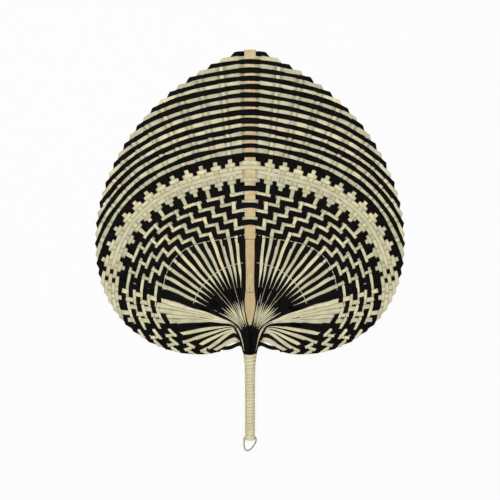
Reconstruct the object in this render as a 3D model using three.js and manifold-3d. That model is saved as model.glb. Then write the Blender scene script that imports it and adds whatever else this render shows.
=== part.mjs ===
// Woven bamboo hand fan: splints folded over at the rim, a split-bamboo spine and a bound handle.
// Millimetres and degrees. The fan lies face up: +Y points to its tip and +Z to the viewer.
import * as THREE from 'three';
import { mergeVertices } from 'three/addons/utils/BufferGeometryUtils.js';
import Module from 'manifold-3d';

// Fits
const SEAT_GAP = 0.3;
const SPLINT_GAP = 0.4;
const CUT_OVERSHOOT = 2;
const CUT_REACH_IN_RADII = 4;

// Splints, counted from the outermost strip inwards
const SPLINT_COUNT = 43;
const SPLINT_WIDTH = 4.2;
const SPLINT_THICKNESS = 0.4;
const PALE_BAND_FIRST = 27;
const PALE_BAND_LAST = 31;
const DARK_EDGE_STRIPS = [26, 32];

// Steps for measuring directions: along a rib's run, and along a row in degrees
const RUN_STEP = 0.001;
const ANGLE_STEP = 0.01;

// Rim of the blade, in polar form about the point where the splints converge
const RIM_TIP_RADIUS = 273;
const RIM_SIDE_RADIUS = 130.6;
const RIM_SIDE_ANGLE = 90;
const RIM_TUCK = 19;
const RIM_TUCK_FROM_ANGLE = 74;
const RIM_TUCK_SPAN_ANGLE = 50;
const TIP_RISE = 1.9;
const TIP_RISE_ANGLE = 6;

// Where the strips fold at the rim. A strip's order runs from 0 at the spine to 1 at the last strip.
const FOLD_START_ANGLE = 1.1;
const FOLD_RUN_ANGLE = 114.8;
const FOLD_SPREAD_FROM = 0.33;
const FOLD_SPREAD_ANGLE = 33.8;
const FOLD_LENGTH_IN_WIDTHS = 1.3;

// Rows across the blade: depth of the weave from the rim to the last row
const WEAVE_DEPTH_AT_SPINE = 181.8;
const WEAVE_DEPTH_AT_SIDE = 158.2;
const WEAVE_DEPTH_BLEND_FROM_ANGLE = 13.5;
const WEAVE_DEPTH_BLEND_SPAN_ANGLE = 43.7;
const ROW_STATION_ANGLE = 10;

// Open ribs between the woven rows and the neck
const RIB_BEND_RADIUS = 91;
const RIB_BEND_SHARE = 0.74;
const RIB_BEND_START_ANGLE = 3.4;
const RIB_BEND_RUN_ANGLE = 114;
const RIB_BEND_SPREAD_FROM = 0.465;
const RIB_BEND_SPREAD_ANGLE = 59;
const RIB_STATIONS = [0.3, 0.6, 0.8, 1];
const RIB_RISE_FROM = 0.6;
const RIB_RISE_TO = 0.8;

// Neck, where the strips are bunched
const NECK_RADIUS = 13;
const NECK_FIRST_CLEARANCE = 1.4;
const NECK_LAST_ANGLE = 126;
const NECK_WAIST_PAST_LAST_ANGLE = 3;
const NECK_LENGTH = 45.5;
const NECK_TOP_DEPTH = 2;
const NECK_TOP_STATIONS = [0.97, 0.85, 0.6, 0.25, -0.2];
const NECK_FOOT_STATIONS = [0, 0.4, 0.8, 1];

// Dome of the blade: level round the neck, then falling towards the rim
const DOME_FALL = 5;
const DOME_HALF_WIDTH = 155;
const DOME_LEVEL_SHARE = 0.33;

// Spine
const SPINE_OVERHANG = 1.95;
const SPINE_TIP_WIDTH = 11.8;
const SPINE_FOOT_WIDTH = 10.5;
const SPINE_THICKNESS = 1.6;
const SPINE_TAPER_TOP = 14;
const SPINE_TAPER_LENGTH = 18;
const SPINE_STATION_LENGTH = 36;
const TANG_WIDTH = 4;
const TANG_THICKNESS = 1.2;

// Handle, loop and threads
const HANDLE_RADIUS = 5;
const HANDLE_FLARE = 0.9;
const HANDLE_FLARE_RUN = 6;
const HANDLE_FLARE_STATIONS = [4, 2, 1, 0.5, 0];
const HANDLE_LENGTH = 85.5;
const HANDLE_SIDES = 16;
const BINDING_TURNS = 24;
const BINDING_TURN_GAP = 0.5;
const BINDING_THICKNESS = 0.6;
const BINDING_STEPS_PER_TURN = 16;
const END_WRAP_ABOVE_LOOP = 2;
const LOOP_STRAND_RADIUS = 0.6;
const LOOP_LENGTH = 13.6;
const LOOP_APEX_OFFSET = -2.6;
const LOOP_PIVOT_HEIGHT = 3;
const LOOP_SIDES = 8;
const LOOP_STATIONS = 40;
const LOOP_BEND_IN_RADII = 2;
const DRILL_SIDES = 12;
// The loop's legs, each point a share of the way out from the apex to the leg and a share of the way down
const LOOP_RIGHT_LEG = [[1, 0.33], [0.68, 0.68], [0.3, 0.93]];
const LOOP_LEFT_LEG = [[0.64, 0.92], [1, 0.66], [1, 0.33]];
const THREAD_RADIUS = 0.4;
const THREAD_SIDES = 6;
const INNER_THREAD_SHARE = 0.58;
const INNER_THREAD_ANGLE = 72;
const OUTER_THREAD_ANGLE = 70;
const OUTER_THREAD_CLEARANCE = 1.2;
const THREAD_STATION_ANGLE = 6;

// Colours
const NATURAL = { color: 0xd8cfa0, roughness: 0.55 };
const BLACK = { color: 0x16140f, roughness: 0.5 };
const SPINE_TAN = { color: 0xcfb27c, roughness: 0.5 };
const BINDING_PALE = { color: 0xdcd6ac, roughness: 0.6 };
const STRAND_OLIVE = { color: 0x77765c, roughness: 0.6 };

const wasm = await Module();
wasm.setup();

// Derived levels. The handle's axis lies at z = 0 until the fan is set down.
const MID_LEVEL = SPINE_THICKNESS / 2 + SEAT_GAP / 2;
const LAYER_OFFSET = (SPLINT_THICKNESS + SEAT_GAP) / 2;
const HANDLE_TOP = NECK_RADIUS - NECK_LENGTH - SEAT_GAP;
const HANDLE_END = HANDLE_TOP - HANDLE_LENGTH;
const LOOP_PIVOT_Y = HANDLE_END + LOOP_PIVOT_HEIGHT;
const END_WRAP_TOP = LOOP_PIVOT_Y + END_WRAP_ABOVE_LOOP;
const NECK_FIRST_ANGLE = THREE.MathUtils.radToDeg(
  Math.asin((SPINE_FOOT_WIDTH / 2 + NECK_FIRST_CLEARANCE) / NECK_RADIUS),
);
const SPINE_LENGTH = rowPoint(1, 0).y + SPLINT_WIDTH / 2 + SPINE_OVERHANG;

// Small mathematics

function smoothstep(value) {
  const t = THREE.MathUtils.clamp(value, 0, 1);
  return t * t * (3 - 2 * t);
}

function polar(radius, angle) {
  const radians = THREE.MathUtils.degToRad(angle);
  return new THREE.Vector2(radius * Math.sin(radians), radius * Math.cos(radians));
}

// Height of the blade's middle surface over the handle's axis
function domeLevel(point) {
  const distance = Math.hypot(point.x / DOME_HALF_WIDTH, point.y / SPINE_LENGTH);
  const fall = Math.max(0, distance - DOME_LEVEL_SHARE) / (1 - DOME_LEVEL_SHARE);
  return MID_LEVEL - DOME_FALL * fall * fall;
}

function onDome(point, lift) {
  return new THREE.Vector3(point.x, point.y, domeLevel(point) + lift);
}

// Weave layout

// Angle at which a strip folds over at the rim
function foldAngle(strip) {
  const order = strip / SPLINT_COUNT;
  const spread = Math.max(0, order - FOLD_SPREAD_FROM);
  return FOLD_START_ANGLE + FOLD_RUN_ANGLE * order + FOLD_SPREAD_ANGLE * spread * spread;
}

// The order of the (fractional) strip that folds at a given angle
function orderFoldingAt(angle) {
  const past = angle - FOLD_START_ANGLE - FOLD_RUN_ANGLE * FOLD_SPREAD_FROM;
  if (past <= 0) {
    return FOLD_SPREAD_FROM + past / FOLD_RUN_ANGLE;
  }
  const root = Math.sqrt(FOLD_RUN_ANGLE ** 2 + 4 * FOLD_SPREAD_ANGLE * past);
  return FOLD_SPREAD_FROM + (root - FOLD_RUN_ANGLE) / (2 * FOLD_SPREAD_ANGLE);
}

function rimRadius(angle) {
  const tuck = RIM_TUCK * smoothstep((angle - RIM_TUCK_FROM_ANGLE) / RIM_TUCK_SPAN_ANGLE);
  const tip = TIP_RISE * Math.exp(-((angle / TIP_RISE_ANGLE) ** 2));
  return THREE.MathUtils.lerp(RIM_TIP_RADIUS, RIM_SIDE_RADIUS, angle / RIM_SIDE_ANGLE) - tuck + tip;
}

function weaveDepth(angle) {
  const blend = smoothstep((angle - WEAVE_DEPTH_BLEND_FROM_ANGLE) / WEAVE_DEPTH_BLEND_SPAN_ANGLE);
  return THREE.MathUtils.lerp(WEAVE_DEPTH_AT_SPINE, WEAVE_DEPTH_AT_SIDE, blend);
}

// A point of the row (weft) of a strip: rows lie inside the rim by their order
function rowPoint(strip, angle) {
  const inside = strip / SPLINT_COUNT - orderFoldingAt(angle);
  return polar(rimRadius(angle) - weaveDepth(angle) * inside, angle);
}

// A point of the rib (warp) of a strip: 0 to 1 from the rim to its bend, 1 to 2 from the bend to the neck
function ribPoint(strip, run) {
  const rim = polar(rimRadius(foldAngle(strip)), foldAngle(strip));
  const order = strip / SPLINT_COUNT;
  const spread = Math.max(0, order - RIB_BEND_SPREAD_FROM);
  const spreadAngle = RIB_BEND_SPREAD_ANGLE * spread * spread;
  const bendAngle = RIB_BEND_START_ANGLE + RIB_BEND_RUN_ANGLE * order + spreadAngle;
  const bend = polar(Math.min(RIB_BEND_RADIUS, RIB_BEND_SHARE * rim.length()), bendAngle);
  if (run <= 1) {
    return rim.lerp(bend, run);
  }
  const neckShare = (strip - 1) / (SPLINT_COUNT - 1);
  const neck = polar(NECK_RADIUS, THREE.MathUtils.lerp(NECK_FIRST_ANGLE, NECK_LAST_ANGLE, neckShare));
  const handleLength = bend.distanceTo(neck) / 3;
  const leave = bend.clone().addScaledVector(bend.clone().sub(rim).normalize(), handleLength);
  const enter = neck.clone().addScaledVector(neck.clone().normalize(), handleLength);
  return new THREE.CubicBezierCurve(bend, leave, enter, neck).getPoint(run - 1);
}

// Direction of travel, sideways direction and distance to the neighbours of a family of strips at one place
function travel(pointAt, strip, at, step) {
  const forward = pointAt(strip, at + step).sub(pointAt(strip, at - step)).normalize();
  const side = new THREE.Vector2(-forward.y, forward.x);
  const across = pointAt(strip + 0.5, at).sub(pointAt(strip - 0.5, at));
  return { forward, side, spacing: Math.abs(across.dot(side)) };
}

// Lofted bodies

// A closed body through rings of points; each ring has the same number of points
function loft(rings, closed = false) {
  const sides = rings[0].length;
  const positions = rings.flat().flatMap((point) => [point.x, point.y, point.z]);
  const indices = [];
  const spans = closed ? rings.length : rings.length - 1;
  for (let span = 0; span < spans; span += 1) {
    const near = span * sides;
    const far = ((span + 1) % rings.length) * sides;
    for (let side = 0; side < sides; side += 1) {
      const next = (side + 1) % sides;
      indices.push(near + side, near + next, far + next, near + side, far + next, far + side);
    }
  }
  if (!closed) {
    const last = (rings.length - 1) * sides;
    for (let side = 1; side < sides - 1; side += 1) {
      indices.push(0, side + 1, side, last, last + side, last + side + 1);
    }
  }
  const geometry = new THREE.BufferGeometry();
  geometry.setAttribute('position', new THREE.Float32BufferAttribute(positions, 3));
  geometry.setIndex(signedVolume(positions, indices) < 0 ? indices.reverse() : indices);
  return geometry;
}

function signedVolume(positions, indices) {
  let total = 0;
  for (let i = 0; i < indices.length; i += 3) {
    const [a, b, c] = [0, 1, 2].map((n) => new THREE.Vector3().fromArray(positions, indices[i + n] * 3));
    total += a.dot(b.cross(c)) / 6;
  }
  return total;
}

// The four corners of a flat strip's section
function stripRing(centre, halfWidth, halfThickness) {
  const corner = (w, t) => centre.clone().addScaledVector(halfWidth, w).addScaledVector(halfThickness, t);
  return [corner(1, 1), corner(-1, 1), corner(-1, -1), corner(1, -1)];
}

function flat(vector, length) {
  return new THREE.Vector3(vector.x, vector.y, 0).setLength(length);
}

function mirrored(ring) {
  return ring.map((point) => new THREE.Vector3(-point.x, point.y, point.z));
}

// A round or many-sided tube along points
function tube(points, radius, sides, closed = false) {
  const rings = points.map((point, i) => {
    const before = points[closed ? (i + points.length - 1) % points.length : Math.max(0, i - 1)];
    const after = points[closed ? (i + 1) % points.length : Math.min(points.length - 1, i + 1)];
    const along = after.clone().sub(before).normalize();
    const side = new THREE.Vector3(-along.y, along.x, 0).normalize();
    const up = along.clone().cross(side);
    return Array.from({ length: sides }, (_, s) => {
      const turn = (2 * Math.PI * (s + 0.5)) / sides;
      return point.clone()
        .addScaledVector(side, radius * Math.cos(turn))
        .addScaledVector(up, radius * Math.sin(turn));
    });
  });
  return loft(rings, closed);
}

// Cuts

function toSolid(geometry) {
  const bare = geometry.clone();
  bare.deleteAttribute('normal');
  bare.deleteAttribute('uv');
  const merged = mergeVertices(bare);
  return new wasm.Manifold(new wasm.Mesh({
    numProp: 3,
    vertProperties: new Float32Array(merged.attributes.position.array),
    triVerts: new Uint32Array(merged.index.array),
  }));
}

function toGeometry(solid) {
  const mesh = solid.getMesh();
  const geometry = new THREE.BufferGeometry();
  geometry.setAttribute('position', new THREE.Float32BufferAttribute(mesh.vertProperties, 3));
  geometry.setIndex(Array.from(mesh.triVerts));
  return geometry;
}

function cut(body, ...tools) {
  return toGeometry(tools.reduce((left, tool) => left.subtract(toSolid(tool)), toSolid(body)));
}

// Pieces

// One strip: rib up to the rim, fold, row across the blade, fold, and rib down again
function splint(strip) {
  const right = [...ribRings(strip), foldRing(strip), ...rowRings(strip)];
  const left = right.slice(0, -1).reverse().map(mirrored);
  return loft([...right, ...left]);
}

function stripWidth(spacing) {
  return Math.min(SPLINT_WIDTH, spacing - SPLINT_GAP);
}

// Share of the distance between the rim and the bend that the fold takes
function foldRun(strip) {
  return (FOLD_LENGTH_IN_WIDTHS * SPLINT_WIDTH) / ribPoint(strip, 0).distanceTo(ribPoint(strip, 1));
}

// Stations of a rib from the neck outwards. Every second strip rises over its neighbours at the neck.
function ribRings(strip) {
  const runs = [foldRun(strip), 1, ...RIB_STATIONS.map((share) => 1 + share)].reverse();
  return runs.map((run) => {
    const { side, spacing } = travel(ribPoint, strip, run, RUN_STEP);
    const risen = smoothstep((run - 1 - RIB_RISE_FROM) / (RIB_RISE_TO - RIB_RISE_FROM));
    const rise = strip % 2 === 1 ? risen : 0;
    const stacked = 1 + smoothstep((run - 1 - RIB_RISE_TO) / (1 - RIB_RISE_TO));
    const width = stripWidth(spacing * stacked);
    const centre = onDome(ribPoint(strip, run), LAYER_OFFSET * (2 * rise - 1));
    return stripRing(centre, flat(side, width / 2), new THREE.Vector3(0, 0, -SPLINT_THICKNESS / 2));
  });
}

// The crease at the rim, which lies along the diagonal of the crossing
function foldRing(strip) {
  const angle = foldAngle(strip);
  const rib = travel(ribPoint, strip, 0, RUN_STEP);
  const row = travel(rowPoint, strip, angle, ANGLE_STEP);
  const outward = rib.forward.clone().negate();
  const onward = row.forward.clone().negate();
  const ribSide = new THREE.Vector2(outward.y, -outward.x);
  const rowSide = new THREE.Vector2(-onward.y, onward.x);
  const crease = ribSide.clone().add(rowSide).normalize();
  const halfLength = stripWidth(row.spacing) / 2 / crease.dot(rowSide);
  const away = outward.clone().sub(onward);
  const centre = onDome(ribPoint(strip, 0), 0);
  return stripRing(centre, flat(crease, halfLength), flat(away, SPLINT_THICKNESS / 2));
}

// Stations of a row from the fold to the spine
function rowRings(strip) {
  const last = foldAngle(strip);
  const perDegree = rowPoint(strip, last).distanceTo(rowPoint(strip, last - 1));
  const nearFold = last - (FOLD_LENGTH_IN_WIDTHS * SPLINT_WIDTH) / perDegree;
  const angles = [nearFold];
  for (let n = Math.ceil(nearFold / ROW_STATION_ANGLE) - 1; n > 0; n -= 1) {
    angles.push(n * ROW_STATION_ANGLE);
  }
  angles.push(0);
  return angles.map((angle) => {
    const { side, spacing } = travel(rowPoint, strip, Math.max(angle, ANGLE_STEP), ANGLE_STEP);
    const inward = angle === 0 ? new THREE.Vector2(0, -1) : side.clone().negate();
    const centre = onDome(rowPoint(strip, angle), LAYER_OFFSET);
    const halfWidth = flat(inward, stripWidth(spacing) / 2);
    return stripRing(centre, halfWidth, new THREE.Vector3(0, 0, SPLINT_THICKNESS / 2));
  });
}

// Section of the spine, or of the pocket that takes it when margin and extraFront are given
function spineRing(y, margin = 0, extraFront = 0) {
  const along = THREE.MathUtils.clamp((y - SPINE_TAPER_TOP) / (SPINE_LENGTH - SPINE_TAPER_TOP), 0, 1);
  const taper = THREE.MathUtils.clamp((SPINE_TAPER_TOP - y) / SPINE_TAPER_LENGTH, 0, 1);
  const barWidth = THREE.MathUtils.lerp(SPINE_FOOT_WIDTH, SPINE_TIP_WIDTH, along);
  const width = THREE.MathUtils.lerp(barWidth, TANG_WIDTH, taper);
  const thickness = THREE.MathUtils.lerp(SPINE_THICKNESS, TANG_THICKNESS, taper) + extraFront;
  const level = domeLevel(new THREE.Vector2(0, Math.max(y, 0))) - MID_LEVEL + extraFront / 2;
  const halfWidth = new THREE.Vector3(width / 2 + margin, 0, 0);
  const halfThickness = new THREE.Vector3(0, 0, thickness / 2 + margin);
  return stripRing(new THREE.Vector3(0, y, level), halfWidth, halfThickness);
}

// Flat bar with a V-cut foot and a tang that runs down inside the handle
function spine() {
  const tangEnd = END_WRAP_TOP + SEAT_GAP;
  const taperEnd = SPINE_TAPER_TOP - SPINE_TAPER_LENGTH;
  const levelEnd = DOME_LEVEL_SHARE * SPINE_LENGTH;
  const stations = [tangEnd, taperEnd, SPINE_TAPER_TOP];
  const spans = Math.ceil((SPINE_LENGTH - levelEnd) / SPINE_STATION_LENGTH);
  for (let n = 0; n <= spans; n += 1) {
    stations.push(THREE.MathUtils.lerp(levelEnd, SPINE_LENGTH, n / spans));
  }
  return loft(stations.map((y) => spineRing(y)));
}

// The bunched strip ends: a flat teardrop at the blade that rounds into the handle
function splintRoots() {
  const radius = NECK_RADIUS - SEAT_GAP;
  const foot = NECK_RADIUS - NECK_LENGTH;
  const footRadius = HANDLE_RADIUS + HANDLE_FLARE;
  const waist = polar(radius, NECK_LAST_ANGLE + NECK_WAIST_PAST_LAST_ANGLE);
  const stations = NECK_TOP_STATIONS.map((share) => share * radius);
  NECK_FOOT_STATIONS.forEach((share) => stations.push(THREE.MathUtils.lerp(waist.y, foot, share)));
  const rings = stations.map((y) => {
    const down = THREE.MathUtils.clamp((waist.y - y) / (waist.y - foot), 0, 1);
    const round = Math.sqrt(Math.max(0, radius * radius - y * y));
    const halfWidth = down > 0 ? THREE.MathUtils.lerp(waist.x, footRadius, down) : round;
    const swell = smoothstep((radius - y) / (radius - foot));
    const halfDepth = THREE.MathUtils.lerp(NECK_TOP_DEPTH, footRadius, swell);
    return Array.from({ length: HANDLE_SIDES }, (_, s) => {
      const turn = (2 * Math.PI * s) / HANDLE_SIDES;
      return new THREE.Vector3(halfWidth * Math.cos(turn), y, halfDepth * Math.sin(turn));
    });
  });
  const taperEnd = SPINE_TAPER_TOP - SPINE_TAPER_LENGTH;
  const blade = [taperEnd, SPINE_TAPER_TOP, NECK_RADIUS + CUT_OVERSHOOT];
  const pocket = loft(blade.map((y) => spineRing(y, SEAT_GAP, footRadius)));
  const slot = loft([foot - CUT_OVERSHOOT, ...blade].map((y) => spineRing(y, SEAT_GAP)));
  return cut(loft(rings), pocket, slot);
}

function handleRadius(y) {
  return HANDLE_RADIUS + HANDLE_FLARE * Math.exp((y - HANDLE_TOP) / HANDLE_FLARE_RUN);
}

// Half of the packed strip tails round the tang: side is 1 in front and -1 behind
function splintTails(side) {
  const inset = BINDING_THICKNESS + SEAT_GAP;
  const flareSteps = HANDLE_FLARE_STATIONS.map((runs) => HANDLE_TOP - runs * HANDLE_FLARE_RUN);
  const profile = [HANDLE_END, ...flareSteps].map((y) => new THREE.Vector2(handleRadius(y) - inset, y));
  const outline = [new THREE.Vector2(0, HANDLE_END), ...profile, new THREE.Vector2(0, HANDLE_TOP)];
  const bundle = new THREE.LatheGeometry(outline, HANDLE_SIDES);
  const reach = CUT_REACH_IN_RADII * HANDLE_RADIUS;
  const away = new THREE.BoxGeometry(reach, 2 * HANDLE_LENGTH, reach);
  const faceLevel = TANG_THICKNESS / 2 + SEAT_GAP;
  away.translate(0, (HANDLE_TOP + HANDLE_END) / 2, side * (faceLevel - reach / 2));
  return cut(bundle, away);
}

// Strip wound round the tails, one unbroken length
function handleBinding() {
  const length = HANDLE_TOP - END_WRAP_TOP - SEAT_GAP;
  const pitch = (length + BINDING_TURN_GAP) / (BINDING_TURNS + 1);
  const halfWidth = (pitch - BINDING_TURN_GAP) / 2;
  const steps = BINDING_TURNS * BINDING_STEPS_PER_TURN;
  const rings = [];
  for (let step = 0; step <= steps; step += 1) {
    const turn = (2 * Math.PI * step) / BINDING_STEPS_PER_TURN;
    const y = HANDLE_TOP - halfWidth - (pitch * step) / BINDING_STEPS_PER_TURN;
    const out = new THREE.Vector3(Math.cos(turn), 0, Math.sin(turn));
    const flare = (handleRadius(y + halfWidth) - handleRadius(y - halfWidth)) / 2;
    const centre = out.clone().setLength(handleRadius(y) - BINDING_THICKNESS / 2).setY(y);
    const across = out.clone().multiplyScalar(flare).setY(halfWidth);
    rings.push(stripRing(centre, across, out.setLength(BINDING_THICKNESS / 2)));
  }
  console.log(`handle_binding least gap to itself ${leastTurnGap(rings).toFixed(2)} mm`);
  return loft(rings);
}

// Least distance between points of the winding and points one turn later
function leastTurnGap(rings) {
  let least = Infinity;
  for (let i = 0; i + BINDING_STEPS_PER_TURN - 1 < rings.length; i += 1) {
    const later = rings.slice(i + BINDING_STEPS_PER_TURN - 1, i + BINDING_STEPS_PER_TURN + 2).flat();
    rings[i].forEach((point) => later.forEach((other) => {
      least = Math.min(least, point.distanceTo(other));
    }));
  }
  return least;
}

// Wider closing band at the foot of the handle, drilled across for the loop
function endWrap() {
  const inner = HANDLE_RADIUS - BINDING_THICKNESS;
  const outline = [
    new THREE.Vector2(inner, HANDLE_END),
    new THREE.Vector2(HANDLE_RADIUS, HANDLE_END),
    new THREE.Vector2(HANDLE_RADIUS, END_WRAP_TOP),
    new THREE.Vector2(inner, END_WRAP_TOP),
    new THREE.Vector2(inner, HANDLE_END),
  ];
  const drill = new THREE.CylinderGeometry(1, 1, CUT_REACH_IN_RADII * HANDLE_RADIUS, DRILL_SIDES);
  const drillRadius = LOOP_STRAND_RADIUS + SEAT_GAP;
  drill.scale(drillRadius, 1, drillRadius).rotateZ(Math.PI / 2).translate(0, LOOP_PIVOT_Y, 0);
  return cut(new THREE.LatheGeometry(outline, HANDLE_SIDES), drill);
}

// Closed loop of cane: a bar through the drilled band, two legs and an off-centre apex
function hangLoop() {
  const legX = HANDLE_RADIUS + SEAT_GAP + LOOP_STRAND_RADIUS;
  const apexY = LOOP_PIVOT_Y - LOOP_LENGTH;
  const bend = LOOP_BEND_IN_RADII * LOOP_STRAND_RADIUS;
  const leg = (side, stations) => stations.map(([out, down]) => [
    THREE.MathUtils.lerp(LOOP_APEX_OFFSET, side * legX, out),
    THREE.MathUtils.lerp(LOOP_PIVOT_Y, apexY, down),
  ]);
  const points = [
    [legX - bend, LOOP_PIVOT_Y], [legX, LOOP_PIVOT_Y - bend],
    ...leg(1, LOOP_RIGHT_LEG), [LOOP_APEX_OFFSET, apexY], ...leg(-1, LOOP_LEFT_LEG),
    [-legX, LOOP_PIVOT_Y - bend], [-legX + bend, LOOP_PIVOT_Y],
    [-legX / 2, LOOP_PIVOT_Y], [0, LOOP_PIVOT_Y], [legX / 2, LOOP_PIVOT_Y],
  ].map(([x, y]) => new THREE.Vector3(x, y, 0));
  const route = new THREE.CatmullRomCurve3(points, true, 'centripetal');
  return tube(route.getSpacedPoints(LOOP_STATIONS).slice(0, -1), LOOP_STRAND_RADIUS, LOOP_SIDES, true);
}

// Thread that lies across the ribs along a curve given by its radius at each angle
function spacerThread(lastAngle, radiusAt) {
  const spans = Math.round((2 * lastAngle) / THREAD_STATION_ANGLE);
  const points = [];
  for (let n = 0; n <= spans; n += 1) {
    const angle = THREE.MathUtils.lerp(-lastAngle, lastAngle, n / spans);
    points.push(onDome(polar(radiusAt(Math.abs(angle)), angle), SEAT_GAP / 2 + THREAD_RADIUS));
  }
  return tube(points, THREAD_RADIUS, THREAD_SIDES);
}

function innerThreadRadius() {
  return THREE.MathUtils.lerp(NECK_RADIUS, rowPoint(SPLINT_COUNT, 0).length(), INNER_THREAD_SHARE);
}

function outerThreadRadius(angle) {
  return rowPoint(SPLINT_COUNT, angle).length() - SPLINT_WIDTH / 2 - OUTER_THREAD_CLEARANCE;
}

// Assembly

const fan = new THREE.Group();

function add(name, geometry, finish) {
  const mesh = new THREE.Mesh(geometry, new THREE.MeshStandardMaterial({ ...finish, metalness: 0 }));
  mesh.name = name;
  fan.add(mesh);
}

function splintFinish(strip) {
  if (strip >= PALE_BAND_FIRST && strip <= PALE_BAND_LAST) {
    return NATURAL;
  }
  return strip % 2 === 1 || DARK_EDGE_STRIPS.includes(strip) ? BLACK : NATURAL;
}

for (let strip = 1; strip <= SPLINT_COUNT; strip += 1) {
  add(`splint_${String(strip).padStart(2, '0')}`, splint(strip), splintFinish(strip));
}
add('spine', spine(), SPINE_TAN);
add('splint_roots', splintRoots(), BLACK);
add('splint_tails_front', splintTails(1), NATURAL);
add('splint_tails_back', splintTails(-1), NATURAL);
add('handle_binding', handleBinding(), BINDING_PALE);
add('end_wrap', endWrap(), BINDING_PALE);
add('hang_loop', hangLoop(), STRAND_OLIVE);
add('inner_thread', spacerThread(INNER_THREAD_ANGLE, innerThreadRadius), NATURAL);
add('outer_thread', spacerThread(OUTER_THREAD_ANGLE, outerThreadRadius), NATURAL);

// The fan lies on a surface, with its origin under the middle of its outline
const box = new THREE.Box3().setFromObject(fan);
const middle = box.getCenter(new THREE.Vector3());
fan.position.set(-middle.x, -middle.y, -box.min.z);

export default fan;
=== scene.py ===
"""Woven bamboo hand fan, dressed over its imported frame.

Sizes are millimetres and degrees about the hub, the point where the splints converge: x to the
right, y to the blade's tip and z to the viewer. They become metres in the frame when a mesh is made.
A pair named ..._ease holds the start and the span of an ease from 0 to 1.
"""

import logging
import math
from dataclasses import dataclass, field
from enum import Enum

import bpy
import numpy as np
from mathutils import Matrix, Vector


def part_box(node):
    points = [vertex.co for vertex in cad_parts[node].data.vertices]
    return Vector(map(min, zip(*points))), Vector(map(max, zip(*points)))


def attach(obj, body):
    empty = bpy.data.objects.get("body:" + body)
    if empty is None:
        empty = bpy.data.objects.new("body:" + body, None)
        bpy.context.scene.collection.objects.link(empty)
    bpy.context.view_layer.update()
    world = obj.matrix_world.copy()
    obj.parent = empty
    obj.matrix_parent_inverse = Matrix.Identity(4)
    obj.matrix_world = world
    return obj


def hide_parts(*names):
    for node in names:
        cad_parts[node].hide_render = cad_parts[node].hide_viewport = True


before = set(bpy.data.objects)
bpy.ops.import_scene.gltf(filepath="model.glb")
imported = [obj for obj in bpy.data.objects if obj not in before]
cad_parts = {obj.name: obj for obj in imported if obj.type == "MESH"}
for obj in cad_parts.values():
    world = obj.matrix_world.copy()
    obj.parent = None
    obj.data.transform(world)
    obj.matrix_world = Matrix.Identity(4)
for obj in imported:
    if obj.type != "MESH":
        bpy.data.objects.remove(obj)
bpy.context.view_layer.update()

MM = 0.001
LOG = logging.getLogger("woven_fan")
CURVE_STEPS = 60
WELD = 1e-6

Values = np.ndarray | float
Pair = tuple[float, float]
Socket = bpy.types.NodeSocket
Material = bpy.types.Material


class StripTone(Enum):
    """The two colours of splint in the weave, by the record's material slot."""

    NATURAL = "natural_bamboo"
    BLACK = "black_bamboo"


class Grain(Enum):
    """What a material's fibres run along."""

    STRIP = "the piece's own UV map"
    LENGTH = "the fan's length"


class Draw(Enum):
    """What a strip's seeded random numbers are for, as a step from the weave's seed."""

    BRUSH_START = 0
    BRUSH_END = 50
    BARE = 90
    BY_HAND = 200
    SEAM = 300


def smoothstep(value: Values) -> Values:
    """Ease from 0 to 1 as value goes from 0 to 1."""
    clipped = np.clip(value, 0.0, 1.0)
    return clipped * clipped * (3.0 - 2.0 * clipped)


def above(value: Values, start: Values, span: float) -> Values:
    """Ease from 0 at a start to 1 where value is a span above it."""
    return smoothstep((value - start) / span)


def below(value: Values, start: Values, span: float) -> Values:
    """Ease from 0 at a start to 1 where value is a span below it."""
    return smoothstep((start - value) / span)


def mix(first: Values, second: Values, share: Values) -> Values:
    """Value a share of the way from the first to the second."""
    return first + (second - first) * share


def polar(radius: Values, angle: Values) -> np.ndarray:
    """Point at a radius from the hub and an angle from the spine, as (..., 2)."""
    turn = np.radians(angle)
    return np.stack([radius * np.sin(turn), radius * np.cos(turn)], axis=-1)


def angle_of(points: np.ndarray) -> np.ndarray:
    """Angles of points from the spine."""
    return np.degrees(np.arctan2(points[:, 0], points[:, 1]))


def unit(vector: np.ndarray) -> np.ndarray:
    """The vector, or each row of vectors, at length 1."""
    return vector / np.maximum(np.linalg.norm(vector, axis=-1, keepdims=True), 1e-9)


def lengths(points: np.ndarray) -> np.ndarray:
    """Length along a polyline from its first point to each."""
    return np.concatenate([[0.0], np.cumsum(np.linalg.norm(np.diff(points, axis=0), axis=1))])


def uv_grid(along: np.ndarray, around: np.ndarray) -> np.ndarray:
    """Texture places of a loft, from its lengths along and around."""
    return np.stack(np.meshgrid(along, around, indexing="ij"), axis=-1)


def linear(hex_colour: str) -> tuple[float, float, float, float]:
    """A colour written as sRGB hex, as the linear colour that a socket takes.

    Args:
        hex_colour: A hash and six digits.

    Returns:
        Red, green, blue and alpha.
    """
    parts = [int(hex_colour[n:n + 2], 16) / 255.0 for n in (1, 3, 5)]
    red, green, blue = [p / 12.92 if p <= 0.04045 else ((p + 0.055) / 1.055) ** 2.4 for p in parts]
    return red, green, blue, 1.0


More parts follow.
